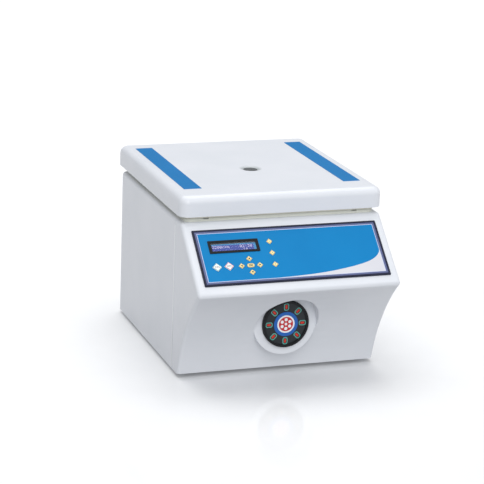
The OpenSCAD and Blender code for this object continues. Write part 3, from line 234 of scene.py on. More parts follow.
def smooth_tree():
    """Joins a CAD mesh's loose triangles and shades all but its sharp edges smooth."""
    tree, given = new_tree("smooth_shading", {"Sharp Angle": "Float"})
    joined = add(tree, "GeometryNodeMergeByDistance",
                 {"Geometry": given.outputs[0], "Distance": CAD_WELD})
    angle = add(tree, "GeometryNodeInputMeshEdgeAngle")
    sharp = add(tree, "FunctionNodeCompare",
                {"A": angle.outputs["Unsigned Angle"], "B": given.outputs[1]},
                data_type="FLOAT", operation="GREATER_THAN")
    smooth = add(tree, "GeometryNodeSetShadeSmooth",
                 {"Geometry": joined.outputs[0], "Shade Smooth": True}, domain="FACE")
    hard = add(tree, "GeometryNodeSetShadeSmooth",
               {"Geometry": smooth.outputs[0], "Selection": sharp.outputs[0],
                "Shade Smooth": False}, domain="EDGE")
    add(tree, "NodeGroupOutput", {"Geometry": hard.outputs[0]})
    return tree


SMOOTH = smooth_tree()


def feed(modifier, tree, values):
    """Runs a geometry tree as a modifier, with values for the inputs that are named."""
    modifier.node_group = tree
    for socket in tree.interface.items_tree:
        if socket.in_out == "INPUT" and socket.name in values:
            modifier[socket.identifier] = values[socket.name]


def dress(names, mat, sharp=28):
    """Gives CAD nodes their material and smooth shading, but for edges of over sharp degrees."""
    for name in names:
        node = nodes[name]
        node.data.materials.clear()
        node.data.materials.append(mat)
        feed(node.modifiers.new("smooth", "NODES"), SMOOTH, {"Sharp Angle": math.radians(sharp)})
        flats = node.modifiers.new("flat_faces_lead", "WEIGHTED_NORMAL")
        flats.keep_sharp = True


# Two-part polyurethane paint over a glass-fibre moulding: satin, with a soft orange peel
PAINT = {"base": "#DDE0E6", "shade": "#D8DCE2", "rough": 0.34, "cell": 2.2, "depth": 0.03,
         "Coat Weight": 0.12, "Coat Roughness": 0.25}
PAINT_SHARP = 24
dress(["front_shell", "side_casing"], coated("polyurethane_paint", **PAINT), sharp=PAINT_SHARP)
# Powder coat on the deck: the same white, a little rougher
deck_coat = coated("powder_coat", "#DEE2E4", "#D6DBDE", rough=0.46, cell=0.9, depth=0.05, edge=0.5)
dress(["top_deck"], deck_coat)


# Bottom: base pan, feet and their screws ---------------------------------------------------------
# A zinc-plated steel pan closes the casing below and stands on four rubber feet. The plate is a
# cool grey with the faint cloudiness that plating leaves; the small steel parts have it too.
zinc = coated("zinc_plated_steel", "#B4B9C0", "#9FA5AD", rough=0.32, cell=0.6, depth=0.01,
              edge=0.25, **{"Metallic": 1.0})
rubber = coated("moulded_rubber", "#1B1C1E", "#242628", rough=0.7, cell=0.5, depth=0.06, edge=0.3,
                **{"Specular IOR Level": 0.3})
dress(["base_pan", "foot_screws", "case_screws", "liner_screws", "hinge_pins", "lock_brackets",
       "lock_shaft", "solenoid_plunger", "motor_bearings", "motor_shaft", "motor_plate"], zinc)
dress(["rubber_feet", "motor_dampers", "shaft_boot", "bowl_gasket"], rubber)


# Lid: cover, liner, sight port and bands ---------------------------------------------------------
# The cover is moulded like the front. A pale vacuum-formed liner closes it below, and a clear disc
# in a dished rim lets the user see that the rotor has stopped. Two self-adhesive bands lie on top.

# Vacuum-formed ABS: warm white with a fine leathery grain
liner_abs = coated("vacuum_formed_abs", "#DEDCD0", "#D6D4C8", rough=0.5, cell=1.1, depth=0.06,
                   edge=0.4)
dress(["lid_liner"], liner_abs)
# The cover's paint is the casing's, darkened by painted shade in the dish round the sight port
ROTOR_AXIS = (0.0, 0.025985)
PORT_DISH_SHADE = (ROTOR_AXIS, 0.0125, 0.0205, "#A9AFB1")
dress(["lid_cover"], coated("polyurethane_paint_lid_dish_shade", dish_shade=PORT_DISH_SHADE, **PAINT), sharp=PAINT_SHARP)
# Closed-cell foam strip: pale grey-green, matt, with small pores
foam = coated("closed_cell_foam", "#D6D8CF", "#CCCEC5", rough=0.85, cell=0.7, depth=0.15)
dress(["rim_gasket"], foam)
dark_abs = coated("black_abs", "#0B0C0F", "#111317", rough=0.42, cell=0.7, depth=0.04, edge=0.25,
                  **{"Specular IOR Level": 0.25})
dress(["port_sleeve"],
      coated("grey_tube_abs", "#4A4D50", "#3E4144", rough=0.5, cell=0.7, depth=0.04))
# Printed polyester: one even blue under a clear satin face
band_film = coated("blue_polyester_film", "#0873B2", "#0670AE", rough=0.45, cell=0.8, depth=0.008,
                   **{"Specular IOR Level": 0.08})
dress(["lid_bands"], band_film)


ACRYLIC_IOR = 1.49


def clear(name, tint, alpha, rough):
    """A clear acrylic moulding: a tinted gloss that alpha makes more or less transparent."""
    mat, tree = new_material(name)
    where = add(tree, "ShaderNodeTexCoord").outputs["Object"]
    wear = add(tree, "ShaderNodeTexNoise", {"Vector": where, "Scale": 260.0, "Detail": 3.0})
    gloss = add(tree, "ShaderNodeMapRange",
                {"Value": wear.outputs["Fac"], "To Min": rough * 0.6, "To Max": rough * 1.6})
    bump = add(tree, "ShaderNodeBump", {"Height": wear.outputs["Fac"], "Strength": 0.1,
                                        "Distance": 0.01 * MM})
    close(tree, add(tree, "ShaderNodeBsdfPrincipled",
                    {"Base Color": linear(tint), "Roughness": gloss.outputs[0], "Alpha": alpha,
                     "Normal": bump.outputs[0], "IOR": ACRYLIC_IOR}))
    return mat


dress(["port_window"], clear("smoked_acrylic", "#53585B", 0.62, 0.1))


# Hinges ------------------------------------------------------------------------------------------
# Two stainless hinges at the rear, pressed from sheet and brushed along their length. The
# scratches lie 0.3 mm apart and run for several centimetres.

# Scales along and across the scratches, per metre; a rim's rounding and a scratch's depth, in mm
ALONG, ACROSS = 25, 3200
SHEET_EDGE, SCRATCH_DEPTH = 0.3, 0.008


def brushed(name, base, shade, stretch, rough=0.34, turn=None, metal=1.0):
    """Brushed or turned metal: fine scratches, long along one axis or round the vertical one.

    stretch gives the scratches' scale along x, y and z, per metre. turn is the axis, (x, y), that
    turned pieces are drawn round; metal is below 1 where a satin or oxide film scatters light.
    """
    mat, tree = new_material(name)
    where = add(tree, "ShaderNodeTexCoord").outputs["Object"]
    if turn:
        centred = add(tree, "ShaderNodeMapping",
                      {"Vector": where, "Location": (-turn[0], -turn[1], 0)})
        split = add(tree, "ShaderNodeSeparateXYZ", {"Vector": centred.outputs[0]})
        angle = add(tree, "ShaderNodeMath", {0: split.outputs[1], 1: split.outputs[0]},
                    operation="ARCTAN2")
        flat = add(tree, "ShaderNodeCombineXYZ", {"X": split.outputs[0], "Y": split.outputs[1]})
        radius = add(tree, "ShaderNodeVectorMath", {0: flat.outputs[0]}, operation="LENGTH")
        where = add(tree, "ShaderNodeCombineXYZ",
                    {"X": angle.outputs[0], "Y": radius.outputs["Value"],
                     "Z": split.outputs[2]}).outputs[0]
    long = add(tree, "ShaderNodeMapping", {"Vector": where, "Scale": stretch})
    lines = add(tree, "ShaderNodeTexNoise",
                {"Vector": long.outputs[0], "Scale": 1.0, "Detail": 3.0}).outputs["Fac"]
    colour = two_tones(tree, lines, base, shade)
    gloss = add(tree, "ShaderNodeMapRange",
                {"Value": lines, "To Min": rough * 0.75, "To Max": rough * 1.25})
    rim = add(tree, "ShaderNodeBevel", {"Radius": SHEET_EDGE * MM}, samples=RIM_SAMPLES)
    bump = add(tree, "ShaderNodeBump", {"Height": lines, "Strength": 0.5,
                                        "Distance": SCRATCH_DEPTH * MM, "Normal": rim.outputs[0]})
    close(tree, add(tree, "ShaderNodeBsdfPrincipled",
                    {"Base Color": colour, "Roughness": gloss.outputs[0], "Metallic": metal,
                     "Normal": bump.outputs[0]}))
    return mat


stainless = brushed("brushed_stainless", "#C9CBCC", "#B4B7B9", (ALONG, ACROSS, ACROSS))
dress(["hinge_brackets", "hinge_leaves"], stainless)


# Chamber and rotor -------------------------------------------------------------------------------
# The bowl is spun from stainless sheet, so its marks run round the rotor's axis. The yoke is
# milled from aluminium and clear anodised; its carriers are folded stainless sheet with ribbed
# rubber mats.
spun = brushed("spun_stainless", "#C4C7C9", "#AEB2B5", (3, 2600, 900), turn=ROTOR_AXIS, metal=0.85)
dress(["chamber_bowl"], spun)
anodised = coated("anodised_aluminium", "#B9BDC2", "#ACB1B7", rough=0.36, cell=0.4, depth=0.01,
                  edge=0.4, **{"Metallic": 1.0})
dress(["rotor_yoke", "motor_endcap"], anodised)
dress(["trunnion_pins"],
      brushed("ground_steel", "#C2C5C8", "#A9ADB2", (ACROSS, 60, ACROSS), rough=0.22))
dress(["carrier_left", "carrier_right"],
      brushed("satin_carrier_steel", "#CDD0D2", "#BABDC0", (ACROSS, ALONG, ACROSS), rough=0.5,
              metal=0.7))
dress(["carrier_mat_left", "carrier_mat_right"], rubber)
dress(["rotor_nut", "badge_rim", "power_inlet", "power_rocker", "lcd_frame"], dark_abs)


# Lid lock and drive ------------------------------------------------------------------------------
# Plated hooks enter slots in the deck, where two brass pawls on one shaft catch them. The motor
# hangs on rubber mounts under the bowl, with its controller on a board beside it.
dress(["lid_hooks"], zinc)
brass = coated("machined_brass", "#C9A45A", "#B8934A", rough=0.3, cell=0.3, depth=0.01, edge=0.25,
               **{"Metallic": 1.0})
dress(["lock_pawls"], brass)
motor_paint = coated("black_enamel", "#26282B", "#2E3134", rough=0.38, cell=1.4, depth=0.04,
                     edge=0.4)
dress(["motor_housing", "lock_solenoid"], motor_paint)


def board(name):
    """A circuit board: green solder mask over fine copper tracks, drawn coarse enough to see."""
    mat, tree = new_material(name)
    where = add(tree, "ShaderNodeTexCoord").outputs["Object"]
    tracks = add(tree, "ShaderNodeTexBrick",
                 {"Vector": where, "Scale": 160.0, "Mortar Size": 0.03,
                  "Color1": linear("#0F4A2A"), "Color2": linear("#125430"),
                  "Mortar": linear("#1F7A46")})
    speck = add(tree, "ShaderNodeTexNoise", {"Vector": where, "Scale": 900.0, "Detail": 2.0})
    gloss = add(tree, "ShaderNodeMapRange",
                {"Value": speck.outputs["Fac"], "To Min": 0.28, "To Max": 0.45})
    bump = add(tree, "ShaderNodeBump", {"Height": tracks.outputs["Fac"], "Strength": 0.3,
                                        "Distance": 0.04 * MM})
    close(tree, add(tree, "ShaderNodeBsdfPrincipled",
                    {"Base Color": tracks.outputs["Color"], "Roughness": gloss.outputs[0],
                     "Normal": bump.outputs[0]}))
    return mat


dress(["drive_board", "control_board"], board("solder_mask_board"))


# Control panel: bezel and printed overlay --------------------------------------------------------
# A navy moulded bezel frames a stiff plate. Over the plate lies a printed polyester film: a
# grey-blue border, a pale line, the blue field and a white sweep below it, cut out for the keys
# and the display.
PANEL_TILT = math.radians(41.1)
BROW = Vector((0, -0.1295148, 0.2535))
# In millimetres: the panel's middle down the slope from the brow, the height of the plate's face,
# the film's thickness, and the gap that keeps two faces from lying in one plane
PANEL_MIDDLE, PLATE_FACE, FILM, GAP = 67.0, 1.6, 0.15, 0.01
# Points of a sheet nearer than this are one
SHEET_WELD = 1e-7


def on_panel(x, down, off):
    """The point x mm across, down mm below the brow and off mm in front of the panel face."""
    y = -down * math.cos(PANEL_TILT) - off * math.sin(PANEL_TILT)
    z = -down * math.sin(PANEL_TILT) + off * math.cos(PANEL_TILT)
    return BROW + Vector((x, y, z)) * MM


def flat_piece(name, outlines, place, low, high):
    """A thin sheet between two heights, its outline and its holes given as lists of points."""
    shape = bpy.data.curves.new(name, "CURVE")
    shape.dimensions, shape.fill_mode = "2D", "BOTH"
    shape.extrude = 0.5
    for outline in outlines:
        spline = shape.splines.new("POLY")
        spline.points.add(len(outline) - 1)
        spline.use_cyclic_u = True
        for point, (x, y) in zip(spline.points, outline):
            point.co = (x, y, 0, 1)
    return settle(name, shape, place, low, high)


def as_mesh(name, sketch):
    """Replaces an object by one that holds its final shape as a plain mesh."""
    bpy.context.view_layer.update()
    depsgraph = bpy.context.evaluated_depsgraph_get()
    mesh = bpy.data.meshes.new_from_object(sketch.evaluated_get(depsgraph))
    bpy.data.objects.remove(sketch)
    mesh.name = name
    piece = bpy.data.objects.new(name, mesh)
    scene.collection.objects.link(piece)
    return piece


def settle(name, shape, place, low, high):
    """Makes a flat curve or text a mesh, and lays it on its face between two heights."""
    sketch = bpy.data.objects.new(name + "_sketch", shape)
    scene.collection.objects.link(sketch)
    piece = as_mesh(name, sketch)
    for vertex in piece.data.vertices:
        x, y, z = vertex.co
        vertex.co = place(x, y, low + (high - low) * (z + 0.5))
    face_outwards(piece.data, SHEET_WELD)
    return piece


def face_outwards(mesh, weld=0.0):
    """Turns a closed mesh's faces outwards, once its points within weld of each other are one."""
    shell = bmesh.new()
    shell.from_mesh(mesh)
    if weld:
        bmesh.ops.remove_doubles(shell, verts=shell.verts, dist=weld)
    bmesh.ops.recalc_face_normals(shell, faces=shell.faces)
    shell.to_mesh(mesh)
    shell.free()


def finished(piece, mat, body):
    """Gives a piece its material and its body."""
    piece.data.materials.clear()
    piece.data.materials.append(mat)
    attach(piece, body)


def box_outline(half_w, half_h, corner=0.0, steps=6):
    """A rectangle round the origin, its corners square or rounded."""
    if not corner:
        return [(-half_w, -half_h), (half_w, -half_h), (half_w, half_h), (-half_w, half_h)]
    points = []
    for quarter, (sx, sy) in enumerate(((1, -1), (1, 1), (-1, 1), (-1, -1))):
        for i in range(steps + 1):
            a = math.radians(90 * (quarter - 1 + i / steps))
            points.append((sx * (half_w - corner) + corner * math.cos(a),
                           sy * (half_h - corner) + corner * math.sin(a)))
    return points


def diamond_outline(side, at=(0, 0)):
    """A square that stands on its corner."""
    half = side / math.sqrt(2)
    return moved([(half, 0), (0, half), (-half, 0), (0, -half)], *at)


def pill_outline(length, width, at=(0, 0), steps=10):
    """A bar with round ends, along x."""
    points = []
    for side in (1, -1):
        for i in range(steps + 1):
            a = math.radians(180 * i / steps - 90)
            points.append((side * ((length - width) / 2 + width / 2 * math.cos(a)),
                           side * width / 2 * math.sin(a)))
    return moved(points, *at)


def in_panel(x, up, off):
    """on_panel, measured from the panel's middle and upwards."""
    return on_panel(x, PANEL_MIDDLE - up, off)


def moved(outline, dx, dy):
    """An outline shifted by dx and dy."""
    return [(x + dx, y + dy) for x, y in outline]


# Keys: x, distance down the slope and length of a side, in millimetres; the enter key is a pill
BIG_KEY, SMALL_KEY, ENTER_LENGTH = 10.8, 6.8, 5.0
PAD_X, PAD_DOWN, PAD_STEP_X, PAD_STEP_DOWN = -72.6, 85.2, 15.0, 12.4
SET_X = -32.5
KEYS = {
    "key_start": (-127.4, 84.9, BIG_KEY),
    "key_stop": (-107.8, 84.5, BIG_KEY),
    "key_left": (PAD_X - PAD_STEP_X, PAD_DOWN, SMALL_KEY),
    "key_up": (PAD_X, PAD_DOWN - PAD_STEP_DOWN, SMALL_KEY),
    "key_enter": (PAD_X, PAD_DOWN, 0),
    "key_down": (PAD_X, PAD_DOWN + PAD_STEP_DOWN, SMALL_KEY),
    "key_right": (PAD_X + PAD_STEP_X, PAD_DOWN, SMALL_KEY),
    "key_set_1": (SET_X, 43.6, SMALL_KEY),
    "key_set_2": (SET_X, 64.7, SMALL_KEY),
    "key_set_3": (SET_X, 85.9, SMALL_KEY),
}


def key_outline(name, grow):
    """A key's outline on the panel, grown or shrunk by some millimetres."""
    x, down, side = KEYS[name]
    at = (x, PANEL_MIDDLE - down)
    if side:
        return diamond_outline(side + 2 * grow, at)
    return pill_outline(SMALL_KEY + ENTER_LENGTH + 2 * grow, SMALL_KEY + 2 * grow, at)


navy_abs = coated("navy_abs", "#151930", "#1B203A", rough=0.33, cell=0.6, depth=0.03, edge=0.5,
                  **{"Specular IOR Level": 0.3})
dress(["panel_bezel"], navy_abs)
dress(["keypad_plate"],
      coated("blue_backing_plate", "#2584C8", "#2180C4", rough=0.4, cell=0.8, depth=0.01))

# In millimetres: half width and height of the blue field, the pale line's width, and half width
# and height of the bezel's opening
FIELD_W, FIELD_H, LINE_W = 146.6, 43.6, 0.8
OPENING_W, OPENING_H = 150.65, 47.6
# The blue field's lower edge, from left to right
SWEEP = [(-36, -FIELD_H), (-8, -42.8), (24, -41.0), (45, -39.1), (62, -37.0), (80, -34.2),
         (97, -31.1), (111, -27.8), (122.6, -24.4), (130, -21.2), (136.3, -17.6), (141, -13.8),
         (144.6, -9.2), (FIELD_W, -4.0)]
# The display's middle and its frame, and the film's clearance to the frame and to the keys
LCD_X, LCD_UP = -92.2, PANEL_MIDDLE - 48.7
LCD_FRAME_W, LCD_FRAME_H, LCD_CORNER = 82.5, 23.0, 1.0
LCD_CLEAR, KEY_CLEAR = 0.1, 0.35
key_holes = [key_outline(name, KEY_CLEAR) for name in KEYS]
lcd_hole = moved(box_outline(LCD_FRAME_W / 2 + LCD_CLEAR, LCD_FRAME_H / 2 + LCD_CLEAR, LCD_CORNER),
                 LCD_X, LCD_UP)
blue_outline = [(-FIELD_W, -FIELD_H)] + SWEEP + [(FIELD_W, FIELD_H), (-FIELD_W, FIELD_H)]
white_outline = SWEEP + [(FIELD_W, -FIELD_H)]

film_blue = coated("printed_film_blue", "#087EBC", "#067AB8", rough=0.4, cell=0.5, depth=0.01,
                   **{"Specular IOR Level": 0.15})
film_white = coated("printed_film_white", "#D3D4DA", "#CFD0D7", rough=0.34, cell=0.5, depth=0.01)
film_border = coated("printed_film_border", "#59638F", "#545D88", rough=0.34, cell=0.5, depth=0.01)
film_pale = coated("printed_film_line", "#C9D3EA", "#C4CEE6", rough=0.34, cell=0.5, depth=0.01)

line_outline = box_outline(FIELD_W + LINE_W, FIELD_H + LINE_W)
film_parts = [
    ("film_border", [box_outline(OPENING_W, OPENING_H), line_outline], film_border),
    ("film_line", [line_outline, box_outline(FIELD_W, FIELD_H)], film_pale),
    ("film_blue_field", [blue_outline, lcd_hole] + key_holes, film_blue),
    ("film_white_sweep", [white_outline], film_white),
]
for name, outlines, mat in film_parts:
    film = flat_piece(name, outlines, in_panel, PLATE_FACE + GAP, PLATE_FACE + FILM)
    finished(film, mat, "housing")


# Seam --------------------------------------------------------------------------------------------
# The moulded front meets the folded casing on each side. A thin pale strip there, a little
# proud, is a painted highlight that stands in for the light caught by the front's rolled edge.

# In millimetres: the line's place, half width, lower and upper end; the casing's half width, and
# the line's inner and outer face in front of it
SEAM_Y, SEAM_HALF, SEAM_LOW, SEAM_HIGH = -103.5, 1.2, 9.0, 244.0
CASE_HALF, SEAM_GAP, SEAM_PROUD = 168.0, 0.02, 0.4
# Painted highlight along the seam: a white strip brighter than the paint round it
painted_seam_highlight = coated("seam_highlight_paint", "#F3F5F8", "#EEF1F4", rough=0.3, cell=0.8, depth=0.01)
strip = moved(box_outline(SEAM_HALF, (SEAM_HIGH - SEAM_LOW) / 2),
              SEAM_Y, (SEAM_HIGH + SEAM_LOW) / 2)
for side, sign in (("left", -1), ("right", 1)):
    edge = flat_piece("seam_highlight_strip_" + side, [strip],
                      lambda y, z, off: Vector((sign * (CASE_HALF + off), y, z)) * MM,
                      SEAM_GAP, SEAM_PROUD)
    finished(edge, painted_seam_highlight, "housing")


# Keys --------------------------------------------------------------------------------------------
# Each key is a moulded cap that moves through the film. The cap's face carries a printed border
# and a plain mark: ON and OFF on the white keys, arrows and two bars on the pad, numbers 1 to 3.
cream = coated("cream_abs", "#F6E5A8", "#F1DF9E", rough=0.36, cell=0.5, depth=0.01, edge=0.3)
white_cap = coated("white_abs", "#EEF1F2", "#E7EBEC", rough=0.36, cell=0.5, depth=0.01, edge=0.3)
dress([k for k in KEYS if k not in ("key_start", "key_stop")], cream)
dress(["key_start", "key_stop"], white_cap)
ink = coated("black_ink", "#15161A", "#1C1D22", rough=0.5, cell=0.3, depth=0.005)
gold_ink = coated("gold_ink", "#C79A35", "#BE902D", rough=0.4, cell=0.3, depth=0.005)
green_ink = coated("green_ink", "#36B7A6", "#30AE9E", rough=0.4, cell=0.3, depth=0.005)
red_ink = coated("red_ink", "#D0283A", "#C62234", rough=0.4, cell=0.3, depth=0.005)
border_inks = {"key_start": green_ink, "key_stop": red_ink}
words = {"key_start": "ON", "key_stop": "OFF"}
arrow_turns = {"key_up": 0, "key_left": 90, "key_down": 180, "key_right": 270}
ARROW = [(-1.9, -1.4), (1.9, -1.4), (0, 1.9)]
# In millimetres: the cap's face over the panel's, the bars' half width, half height and place, the
# letters' heights, the border's distance from the rim and its widths, and the heights over the cap
# at which the prints start and end
KEY_FACE = 2.5
BAR_W, BAR_H, BAR_UP = 3.4, 0.5, 0.95
SMALL_TEXT, BIG_TEXT = 4.0, 4.6
BORDER_IN, SMALL_BORDER, BIG_BORDER = 0.42, 0.4, 0.55
PRINT_LOW, BORDER_HIGH, MARK_HIGH = 0.005, 0.03, 0.035


def turned(outline, degrees):
    """An outline turned round the origin, anticlockwise."""
    cos, sin = math.cos(math.radians(degrees)), math.sin(math.radians(degrees))
    return [(x * cos - y * sin, x * sin + y * cos) for x, y in outline]


def word(name, text, height, at, place, low, high):
    """A short plain word or number, centred at a point of a face."""
    letters = bpy.data.curves.new(name, "FONT")
    letters.body, letters.size, letters.extrude = text, height, 0.5
    letters.align_x, letters.align_y = "CENTER", "CENTER"
    letters.resolution_u = 3
    return settle(name, letters, lambda x, y, z: place(x + at[0], y + at[1], z), low, high)


for key, (x, down, side) in KEYS.items():
    width = BIG_BORDER if side == BIG_KEY else SMALL_BORDER
    outer, inner = (key_outline(key, -inset) for inset in (BORDER_IN, BORDER_IN + width))
    rim = flat_piece(key + "_border", [outer, inner], in_panel,
                     KEY_FACE + PRINT_LOW, KEY_FACE + BORDER_HIGH)
    finished(rim, border_inks.get(key, gold_ink), key + "_body")
    centre = (x, PANEL_MIDDLE - down)
    lie = (in_panel, KEY_FACE + PRINT_LOW, KEY_FACE + MARK_HIGH)
    if key in arrow_turns:
        arrow = moved(turned(ARROW, arrow_turns[key]), *centre)
        mark = flat_piece(key + "_mark", [arrow], *lie)
    elif key == "key_enter":
        bars = [moved(box_outline(BAR_W, BAR_H), x, centre[1] + s * BAR_UP) for s in (-1, 1)]
        mark = flat_piece(key + "_mark", bars, *lie)
    else:
        height = SMALL_TEXT if side == SMALL_KEY else BIG_TEXT
        mark = word(key + "_mark", words.get(key, key[-1]), height, centre, *lie)
    finished(mark, ink, key + "_body")


# Display -----------------------------------------------------------------------------------------
# A backlit character display in a black frame. The cell glows deep blue, paler near its top and
# along its right edge; a dark strip along its very top is the frame's shadow, painted. Its
# characters are pale dots, five by seven to each.

# The cell's width and height, in millimetres
LCD_W, LCD_H = 73.0, 15.5


def panel_coordinates(tree):
    """Object coordinates laid into the panel's plane: x across, y up the slope, in millimetres."""
    where = add(tree, "ShaderNodeTexCoord").outputs["Object"]
    centre = on_panel(0, PANEL_MIDDLE, 0)
    shifted = add(tree, "ShaderNodeVectorMath", {0: where, 1: -centre}, operation="ADD")
    laid = add(tree, "ShaderNodeVectorRotate",
               {"Vector": shifted.outputs[0], "Angle": -PANEL_TILT}, rotation_type="X_AXIS")
    return add(tree, "ShaderNodeVectorMath", {0: laid.outputs[0], "Scale": 1 / MM},
               operation="SCALE").outputs[0]


def display_cell():
    """Deep blue cell, a cyan glow at top and right, and painted frame shadow along the top."""
    mat, tree = new_material("backlit_display_cell")
    where = panel_coordinates(tree)
    split = add(tree, "ShaderNodeSeparateXYZ", {"Vector": where})

    def ramp(value, edge, start, end):
        """Rises from 0 to 1 between two distances, in millimetres, short of an edge."""
        return add(tree, "ShaderNodeMapRange",
                   {"Value": value, "From Min": edge - start, "From Max": edge - end}).outputs[0]

    top, right_side = LCD_UP + LCD_H / 2, LCD_X + LCD_W / 2
    glow = add(tree, "ShaderNodeMath", {0: ramp(split.outputs[1], top, 5.0, 2.6),
                                        1: ramp(split.outputs[0], right_side, 4.5, 2.0)},
               operation="MAXIMUM").outputs[0]
    lit = blend(tree, glow, linear("#172C8C"), linear("#1283B8"))
    # The strip within about 2 mm of the top darkens to near black: painted shadow of the frame
    colour = blend(tree, ramp(split.outputs[1], top, 2.4, 1.8), lit, linear("#10131C"))
    cloud = add(tree, "ShaderNodeTexNoise", {"Vector": where, "Scale": 0.12})
    uneven = add(tree, "ShaderNodeMath", {0: glow, 1: cloud.outputs["Fac"]}, operation="MULTIPLY")
    gloss = add(tree, "ShaderNodeMapRange",
                {"Value": uneven.outputs[0], "To Min": 0.25, "To Max": 0.4})
    close(tree, add(tree, "ShaderNodeBsdfPrincipled",
                    {"Base Color": colour, "Roughness": gloss.outputs[0], "Emission Color": colour,
                     "Emission Strength": 0.2, "Specular IOR Level": 0.2}))
    return mat


dress(["lcd_module"], display_cell())
dress(["lcd_window"], clear("clear_acrylic", "#DCE6F2", 0.1, 0.06))

# Characters on a five by seven grid, rows from the top, one bit per column
GLYPHS = {
    "0": (14, 17, 19, 21, 25, 17, 14), "1": (4, 12, 4, 4, 4, 4, 14), "2": (14, 17, 1, 2, 4, 8, 31),
    "3": (31, 2, 4, 2, 1, 17, 14), "4": (2, 6, 10, 18, 31, 2, 2), ":": (0, 4, 4, 0, 4, 4, 0),
    "r": (0, 0, 22, 25, 16, 16, 16), "p": (0, 0, 30, 17, 30, 16, 16),
    "m": (0, 0, 26, 21, 21, 21, 21), " ": (0,) * 7,
}
GRID_W = 5
LINES = ["3200rpm    02:30", "            14  "]
# In millimetres: the pitches; the first dot's place from the cell's upper left corner; and the
# dots' size, height and level over the panel's face
DOT_PITCH, CHAR_PITCH, LINE_PITCH = 0.66, 4.15, 5.6
FIRST_CHAR, FIRST_LINE = 1.6, 5.2
DOT_SIZE, DOT_HEIGHT, DOT_LEVEL = 0.56, 0.02, 0.64


def inked_copies(tree, points, shape, rotation, material):
    """Ends a tree with one copy of a shape at each point, all in one material."""
    spread = add(tree, "GeometryNodeInstanceOnPoints",
                 {"Points": points, "Instance": shape, "Rotation": rotation})
    real = add(tree, "GeometryNodeRealizeInstances", {"Geometry": spread.outputs[0]})
    inked = add(tree, "GeometryNodeSetMaterial",
                {"Geometry": real.outputs[0], "Material": material})
    add(tree, "NodeGroupOutput", {"Geometry": inked.outputs[0]})


def dot_tree():
    """One small square for each point of the mesh it is given, laid in the panel's plane."""
    tree, given = new_tree("display_dots",
                           {"Dot Size": "Float", "Dot Height": "Float", "Tilt": "Float",
                            "Material": "Material"})
    side = given.outputs["Dot Size"]
    size = add(tree, "ShaderNodeCombineXYZ",
               {"X": side, "Y": side, "Z": given.outputs["Dot Height"]})
    dot = add(tree, "GeometryNodeMeshCube", {"Size": size.outputs[0]})
    lean = add(tree, "ShaderNodeCombineXYZ", {"X": given.outputs["Tilt"]})
    inked_copies(tree, given.outputs["Geometry"], dot.outputs[0], lean.outputs[0],
                 given.outputs["Material"])
    return tree


def grown(name, points, tree, inputs):
    """Runs a geometry tree over some points and keeps its result as a plain mesh."""
    seed = bpy.data.meshes.new(name + "_points")
    seed.from_pydata(points, [], [])
    carrier = bpy.data.objects.new(name + "_points", seed)
    scene.collection.objects.link(carrier)
    feed(carrier.modifiers.new("grow", "NODES"), tree, inputs)
    return as_mesh(name, carrier)


lit_dot = coated("lit_display_dot", "#D9CDE4", "#D0C5E0", rough=0.4, cell=0.4, depth=0.0,
                 **{"Emission Color": linear("#E6DDF3"), "Emission Strength": 0.12})
dots = []
for row, text in enumerate(LINES):
    up = LCD_UP + LCD_H / 2 - FIRST_LINE - row * LINE_PITCH
    for column, char in enumerate(text):
        x = LCD_X - LCD_W / 2 + FIRST_CHAR + column * CHAR_PITCH
        for line, bits in enumerate(GLYPHS[char]):
            dots += [in_panel(x + bit * DOT_PITCH, up - line * DOT_PITCH, DOT_LEVEL)
                     for bit in range(GRID_W) if bits >> (GRID_W - 1 - bit) & 1]
display_text = grown("display_text", dots, dot_tree(),
                     {"Dot Size": DOT_SIZE * MM, "Dot Height": DOT_HEIGHT * MM,
                      "Tilt": PANEL_TILT, "Material": lit_dot})
finished(display_text, lit_dot, "housing")


# Badge -------------------------------------------------------------------------------------------
# A round plate in the front's socket: black ring, charcoal face with eight small tube marks in a
# circle, a blue ring and a white middle with a plain picture of a rotor seen from above.

# The socket's floor and the badge's centre, in millimetres
SOCKET_Y, BADGE_Z = -163.9852, 89.0


def on_badge(x, up, off):
    """The point x mm across, up mm above the badge's centre and off mm in front of the socket."""
    return Vector((x, SOCKET_Y - off, BADGE_Z + up)) * MM


charcoal = coated("charcoal_badge_plate", "#1D2225", "#23282C", rough=0.34, cell=0.5, depth=0.02,
                  edge=0.3, **{"Specular IOR Level": 0.3})
dress(["badge_face"], charcoal)
# In millimetres: the marks' gap to the plate, their circle, the levels of their recesses' floor, of
# the plate's face and of its raised middle, and that middle's radius
MARK_COUNT, MARK_GAP = 8, 0.02
MARK_CIRCLE, MARK_FLOOR, BADGE_LEVEL = 28.2, 3.2, 4.0
BADGE_MIDDLE, BOSS_R = 4.8, 17.25
# The marks are drawn in millimetres, and so is the reach within which their points are one
MARK_WELD = 1e-4


def tube_outline(tree, length, width):
    """A rounded bar's outline, as a curve."""
    profile = add(tree, "GeometryNodeCurvePrimitiveQuadrilateral",
                  {"Width": length, "Height": width})
    corner = add(tree, "ShaderNodeMath", {0: width, 1: 0.4}, operation="MULTIPLY")
    return add(tree, "GeometryNodeFilletCurve",
               {"Curve": profile.outputs[0], "Radius": corner.outputs[0], "Count": 5},
               mode="POLY").outputs[0]


